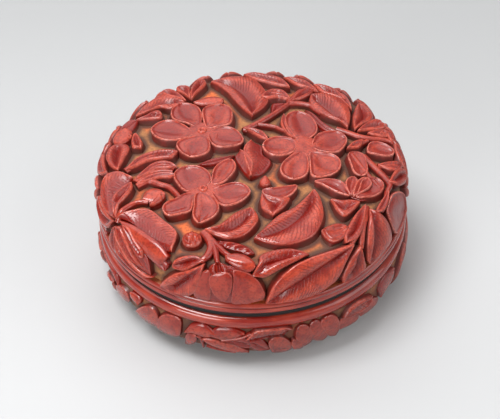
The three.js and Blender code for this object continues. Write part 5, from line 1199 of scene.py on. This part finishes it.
class SEALBOX_OT_lid_ground(bpy.types.Operator):
    """Turns the lid's ochre ground, its plain bead at the seam and the coat's inner side"""

    bl_idname = "sealbox.lid_ground"
    bl_label = "Lid ground and bead"

    def execute(self, context):
        inset = RELIEF_DEPTH * (1 - LID_GROUND_RISE)
        reaches = np.linspace(0, LID_MAP_RADIUS - LID_BEAD_HEIGHT, LID_GROUND_POINTS)
        top = [under(LID_FORM, -1, reach, inset) for reach in reaches]
        top[0] = (0.0, top[0][1])
        bead = rounded([(top[-1][0], LID_BEAD_TOP), *LID_BEAD], reach=0.25)
        piece = turned("lid_ground", top[:-1] + bead + LID_COAT_INSIDE, GROUND_STEPS)
        mark_corners(piece, ("lid_flowers", "lid_leaves", "lid_back_leaves", "lid_stems"))
        dress_lid_coat(piece, "ground_and_beads")
        return {"FINISHED"}


class SEALBOX_OT_lid_flowers(bpy.types.Operator):
    """Carves the open blossoms of the lid with their buttons"""

    bl_idname = "sealbox.lid_flowers"
    bl_label = "Lid flowers"

    def execute(self, context):
        carving = motifs(FLOWERS, LID_MOTIF_SHARES, LID_SCALE, on_lid, LID_SWELL)
        turn = np.linspace(TURN / 4, TURN * 3 / 4, HEART_POINTS)
        half = np.stack([np.cos(turn), np.sin(turn)], 1)
        for x, y, radius in LID_HEART_SHARES:
            left = (np.array([x, y]) + radius * half) * LID_MAP_RADIUS
            right = (np.array([x, y]) + radius * half * (-1, 1)) * LID_MAP_RADIUS
            carving.add("lobe", left, right[1:-1], lift=-LIFT_STEP)
        for x, y, radius in LID_BOSS_SHARES:
            carving.add_button(np.array([x, y]) * LID_MAP_RADIUS, radius * LID_MAP_RADIUS)
        dress_lid_coat(carving.finish("lid_flowers"))
        return {"FINISHED"}


class SEALBOX_OT_lid_leaves(bpy.types.Operator):
    """Carves the leaves of the lid, with the row of leaves round its back"""

    bl_idname = "sealbox.lid_leaves"
    bl_label = "Lid leaves"

    def execute(self, context):
        carving = motifs(LEAVES, LID_MOTIF_SHARES, LID_SCALE, on_lid, LID_SWELL)
        dress_lid_coat(carving.finish("lid_leaves"))
        row = Relief(on_lid)
        rim = LID_RIM_SHARES
        for number, turn in enumerate(np.linspace(rim["first"], rim["last"], rim["count"]) * TURN):
            lean = rim["slant"] * TURN * (1 if number % 2 == 0 else -1)
            foot = rim["foot"] * LID_MAP_RADIUS * np.array([math.cos(turn), math.sin(turn)])
            tip = rim["tip"] * LID_MAP_RADIUS * np.array([math.cos(turn + lean), math.sin(turn + lean)])
            side = left_of(unit(tip - foot)) * RIM_LEAF_WIDTH / 2
            share, bulge = np.array(RIM_LEAF_SHARES).T[..., None]
            middle = foot + (tip - foot) * share
            row.add("leaf", np.vstack([foot, middle + side * bulge, tip]), middle - side * bulge)
        dress_lid_coat(row.finish("lid_back_leaves"))
        return {"FINISHED"}


class SEALBOX_OT_lid_stems(bpy.types.Operator):
    """Carves the stems, buds and small pieces of the lid"""

    bl_idname = "sealbox.lid_stems"
    bl_label = "Lid stems and buds"

    def execute(self, context):
        carving = motifs(SMALL, LID_MOTIF_SHARES, LID_SCALE, on_lid, LID_SWELL)
        for path, width in LID_STEM_SHARES:
            carving.add_stem(pairs(path, LID_SCALE), STEM_WIDTH * width)
        dress_lid_coat(carving.finish("lid_stems"))
        return {"FINISHED"}


class SEALBOX_OT_base_ground(bpy.types.Operator):
    """Turns the base's ochre ground, its bead at the seam and the coat's inner side"""

    bl_idname = "sealbox.base_ground"
    bl_label = "Base ground and bead"

    def execute(self, context):
        inset = RELIEF_DEPTH * (1 - BASE_GROUND_RISE)
        reaches = np.linspace(0, BASE_MAP_HEIGHT - BASE_GROUND_END, BASE_GROUND_POINTS)
        low = [under(BASE_FORM, 1, reach, inset) for reach in reaches]
        bead = rounded([(low[-1][0], BASE_BEAD_FOOT), *BASE_BEAD], reach=0.4)
        seat = [(COAT_INNER_RADIUS, SEAM_HEIGHT), (COAT_INNER_RADIUS, HOOP_TOP), (HOOP_RADIUS, HOOP_TOP)]
        wall = [under(BASE_FORM, 1, share * BASE_MAP_HEIGHT, RELIEF_DEPTH + COAT_THICKNESS)
                for share in BASE_WALL_SHARES]
        piece = turned("base_ground", low + bead + seat + wall + BASE_COAT_FOOT + low[:1], GROUND_STEPS)
        mark_corners(piece, ("base_front_carving", "base_back_carving"))
        dress_base_coat(piece, "ground_and_beads")
        return {"FINISHED"}


class SEALBOX_OT_base_carving(bpy.types.Operator):
    """Carves the leaves, petals and stems round the base"""

    bl_idname = "sealbox.base_carving"
    bl_label = "Base carving"

    def execute(self, context):
        carving = motifs(FLOWERS + LEAVES + SMALL, BASE_MOTIF_SHARES, BASE_SCALE, on_base, BASE_SWELL)
        for path, width in BASE_STEM_SHARES:
            carving.add_stem(pairs(path, BASE_SCALE), STEM_WIDTH * width)
        dress_base_coat(carving.finish("base_front_carving"))
        span = BASE_REPEAT_SPAN_SHARES
        shifts = np.linspace(span["first"], span["last"], span["count"])
        back = motifs(FLOWERS + LEAVES, BASE_REPEAT_SHARES, BASE_SCALE, on_base, BASE_SWELL, shifts)
        dress_base_coat(back.finish("base_back_carving"))
        return {"FINISHED"}


class SEALBOX_OT_lip_and_foot(bpy.types.Operator):
    """Turns the inner lip that centres the lid and the foot that the box stands on"""

    bl_idname = "sealbox.lip_and_foot"
    bl_label = "Lip and foot"

    def execute(self, context):
        inner, middle, outer = LIP_RADII
        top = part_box("base_inner_lip")[1].z / MM
        lip = [(middle, FLOOR_TOP), (outer, FLOOR_TOP), (outer, top - 0.4), (outer - 0.4, top), (inner, top),
               (inner, FLOOR_TOP), (middle, FLOOR_TOP)]
        dress(turned("inner_lip", rounded(lip, reach=0.3)), "black_lining", "base", "lacquered_wood",
              "base_inner_lip")
        inner, middle, outer = FOOT_RADII
        foot = [(middle, FLOOR_UNDERSIDE), (inner, FLOOR_UNDERSIDE), (inner, 0.5), (inner + 0.5, 0),
                (outer - 0.5, 0), (outer, 0.5), (outer, FLOOR_UNDERSIDE), (middle, FLOOR_UNDERSIDE)]
        dress(turned("foot_ring", rounded(foot, reach=0.3)), "black_lining", "base", "lacquered_wood",
              "base_foot_ring")
        return {"FINISHED"}


class SEALBOX_OT_linings(bpy.types.Operator):
    """Turns the black lacquer inside both halves and under the floor"""

    bl_idname = "sealbox.linings"
    bl_label = "Black linings"

    def execute(self, context):
        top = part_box("lid_black_lining")[1].z / MM
        inner, under_top = LID_LINING_RADIUS - LINING, top - LINING
        lid = [(0, top), (LID_LINING_RADIUS, top), (LID_LINING_RADIUS, LID_LINING_FOOT),
               (inner, LID_LINING_FOOT), (inner, under_top - LINING_CORNER),
               (LID_LINING_TOP_RADIUS, under_top), (0, under_top)]
        dress(turned("lid_lining", rounded(lid, reach=0.35)), "black_lining", "lid", "black_lacquer",
              "lid_black_lining")
        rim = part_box("base_black_lining")[1].z / MM
        inner, floor = BASE_LINING_RADIUS - LINING, FLOOR_TOP + LINING
        base = [(0, FLOOR_TOP), (BASE_LINING_RADIUS, FLOOR_TOP), (BASE_LINING_RADIUS, rim), (inner, rim),
                (inner, floor + LINING_CORNER), (inner - LINING_CORNER, floor), (0, floor)]
        dress(turned("base_lining", rounded(base, reach=0.35)), "black_lining", "base", "black_lacquer",
              "base_black_lining")
        foot = FLOOR_UNDERSIDE - LINING
        sheet = [(0, foot), (UNDERSIDE_RADIUS, foot), (UNDERSIDE_RADIUS, FLOOR_UNDERSIDE),
                 (0, FLOOR_UNDERSIDE)]
        dress(turned("underside", rounded(sheet, reach=0.15)), "black_lining", "base", "black_lacquer",
              "base_underside_coat")
        return {"FINISHED"}


class SEALBOX_OT_wood(bpy.types.Operator):
    """Gives the wood of the core its finish"""

    bl_idname = "sealbox.wood"
    bl_label = "Wood core"

    def execute(self, context):
        for name in ("base_floor_panel", "base_wall_hoop", "lid_top_panel", "lid_wall_hoop"):
            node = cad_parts[name]
            node.data.materials.clear()
            node.data.materials.append(finish_of("bare_wood"))
        return {"FINISHED"}


# The lamps: a name, the place and side in metres, and the power in watts
LAMPS = (
    ("key_light", (-0.17, -0.08, 0.57), 0.26, 2.85),
    ("front_light", (-0.36, -0.50, 0.24), 0.3, 2.2),
    ("top_light", (-0.18, 0.30, 0.64), 1.0, 4.8),
    ("fill_light", (0.60, -0.20, 0.40), 0.6, 2.2),
)
LAMP_AIM = (0, 0, 0.015)
AIR_COLOUR = (1.0, 0.99, 0.98, 1)
AIR_STRENGTH = 0.36
FLOOR_SIZE = 3

# The camera: angles in degrees, its lens in millimetres and places in metres
CAMERA_ABOVE = 42.8
CAMERA_ROLL = -1.4
CAMERA_AIM = (0, 0, 0.016)
CAMERA_DISTANCE = 0.3455
CAMERA_LENS = 101.2
CAMERA_SHIFT = (-0.0046, -0.0007)


class SEALBOX_OT_stage(bpy.types.Operator):
    """Lays the pale floor and sets up the lamps and the camera"""

    bl_idname = "sealbox.stage"
    bl_label = "Studio"

    def execute(self, context):
        bpy.ops.object.select_all(action="DESELECT")
        bpy.ops.mesh.primitive_plane_add(size=FLOOR_SIZE, location=(0, 0, 0))
        floor = context.object
        floor.name = floor.data.name = "studio_floor"
        floor.data.materials.append(finish_of("floor_sheet"))
        for name, place, size, power in LAMPS:
            lamp(name, place, size, power)
        world = bpy.data.worlds.new("studio_air")
        world.use_nodes = True
        air = world.node_tree.nodes["Background"].inputs
        air[0].default_value = AIR_COLOUR
        air[1].default_value = AIR_STRENGTH
        context.scene.world = world
        place_camera(context.scene)
        context.scene.view_settings.view_transform = "Standard"
        return {"FINISHED"}


def lamp(name, place, size, power):
    """A square lamp that looks at the box."""
    bpy.ops.object.light_add(type="AREA", location=place)
    light = bpy.context.object
    light.name = light.data.name = name
    light.data.size = size
    light.data.energy = power
    light.rotation_euler = (Vector(LAMP_AIM) - Vector(place)).to_track_quat("-Z", "Y").to_euler()


def place_camera(scene):
    """A long lens in front of the box, about 43 degrees above the table, rolled a little as in the photo."""
    rise = math.radians(CAMERA_ABOVE)
    ahead = Vector((0, math.cos(rise), -math.sin(rise)))
    right = Vector((1, 0, 0))
    turn = Matrix((right, right.cross(ahead), -ahead)).transposed()
    bpy.ops.object.camera_add(location=Vector(CAMERA_AIM) - ahead * CAMERA_DISTANCE)
    camera = bpy.context.object
    camera.name = camera.data.name = "camera"
    camera.rotation_euler = (turn @ Matrix.Rotation(math.radians(CAMERA_ROLL), 3, "Z")).to_euler()
    camera.data.sensor_width = 36
    camera.data.lens = CAMERA_LENS
    camera.data.shift_x, camera.data.shift_y = CAMERA_SHIFT
    camera.data.clip_start = 0.01
    scene.camera = camera


PIECES = (SEALBOX_OT_lid_flowers, SEALBOX_OT_lid_leaves, SEALBOX_OT_lid_stems, SEALBOX_OT_lid_ground,
          SEALBOX_OT_base_carving, SEALBOX_OT_base_ground, SEALBOX_OT_lip_and_foot, SEALBOX_OT_linings,
          SEALBOX_OT_wood, SEALBOX_OT_stage)


class SEALBOX_PT_panel(bpy.types.Panel):
    """Lists the pieces of the box and the sizes and colours behind them"""

    bl_idname = "SEALBOX_PT_panel"
    bl_label = "Seal Box"
    bl_space_type = "VIEW_3D"
    bl_region_type = "UI"
    bl_category = "Seal Box"

    def draw(self, context):
        column = self.layout.column()
        for piece in PIECES:
            column.operator(piece.bl_idname)
        for group in (context.scene.seal_box_sizes, context.scene.seal_box_colours):
            for key in group.__annotations__:
                column.prop(group, key)


CLASSES = (SealBoxSizes, SealBoxColours, *PIECES, SEALBOX_PT_panel)


def register():
    for kind in CLASSES:
        bpy.utils.register_class(kind)
    bpy.types.Scene.seal_box_sizes = bpy.props.PointerProperty(type=SealBoxSizes)
    bpy.types.Scene.seal_box_colours = bpy.props.PointerProperty(type=SealBoxColours)


def unregister():
    del bpy.types.Scene.seal_box_sizes
    del bpy.types.Scene.seal_box_colours
    for kind in reversed(CLASSES):
        bpy.utils.unregister_class(kind)


def main():
    """Builds the box and its studio."""
    register()
    for piece in PIECES:
        group, name = piece.bl_idname.split(".")
        getattr(getattr(bpy.ops, group), name)()


if __name__ == "__main__":
    main()
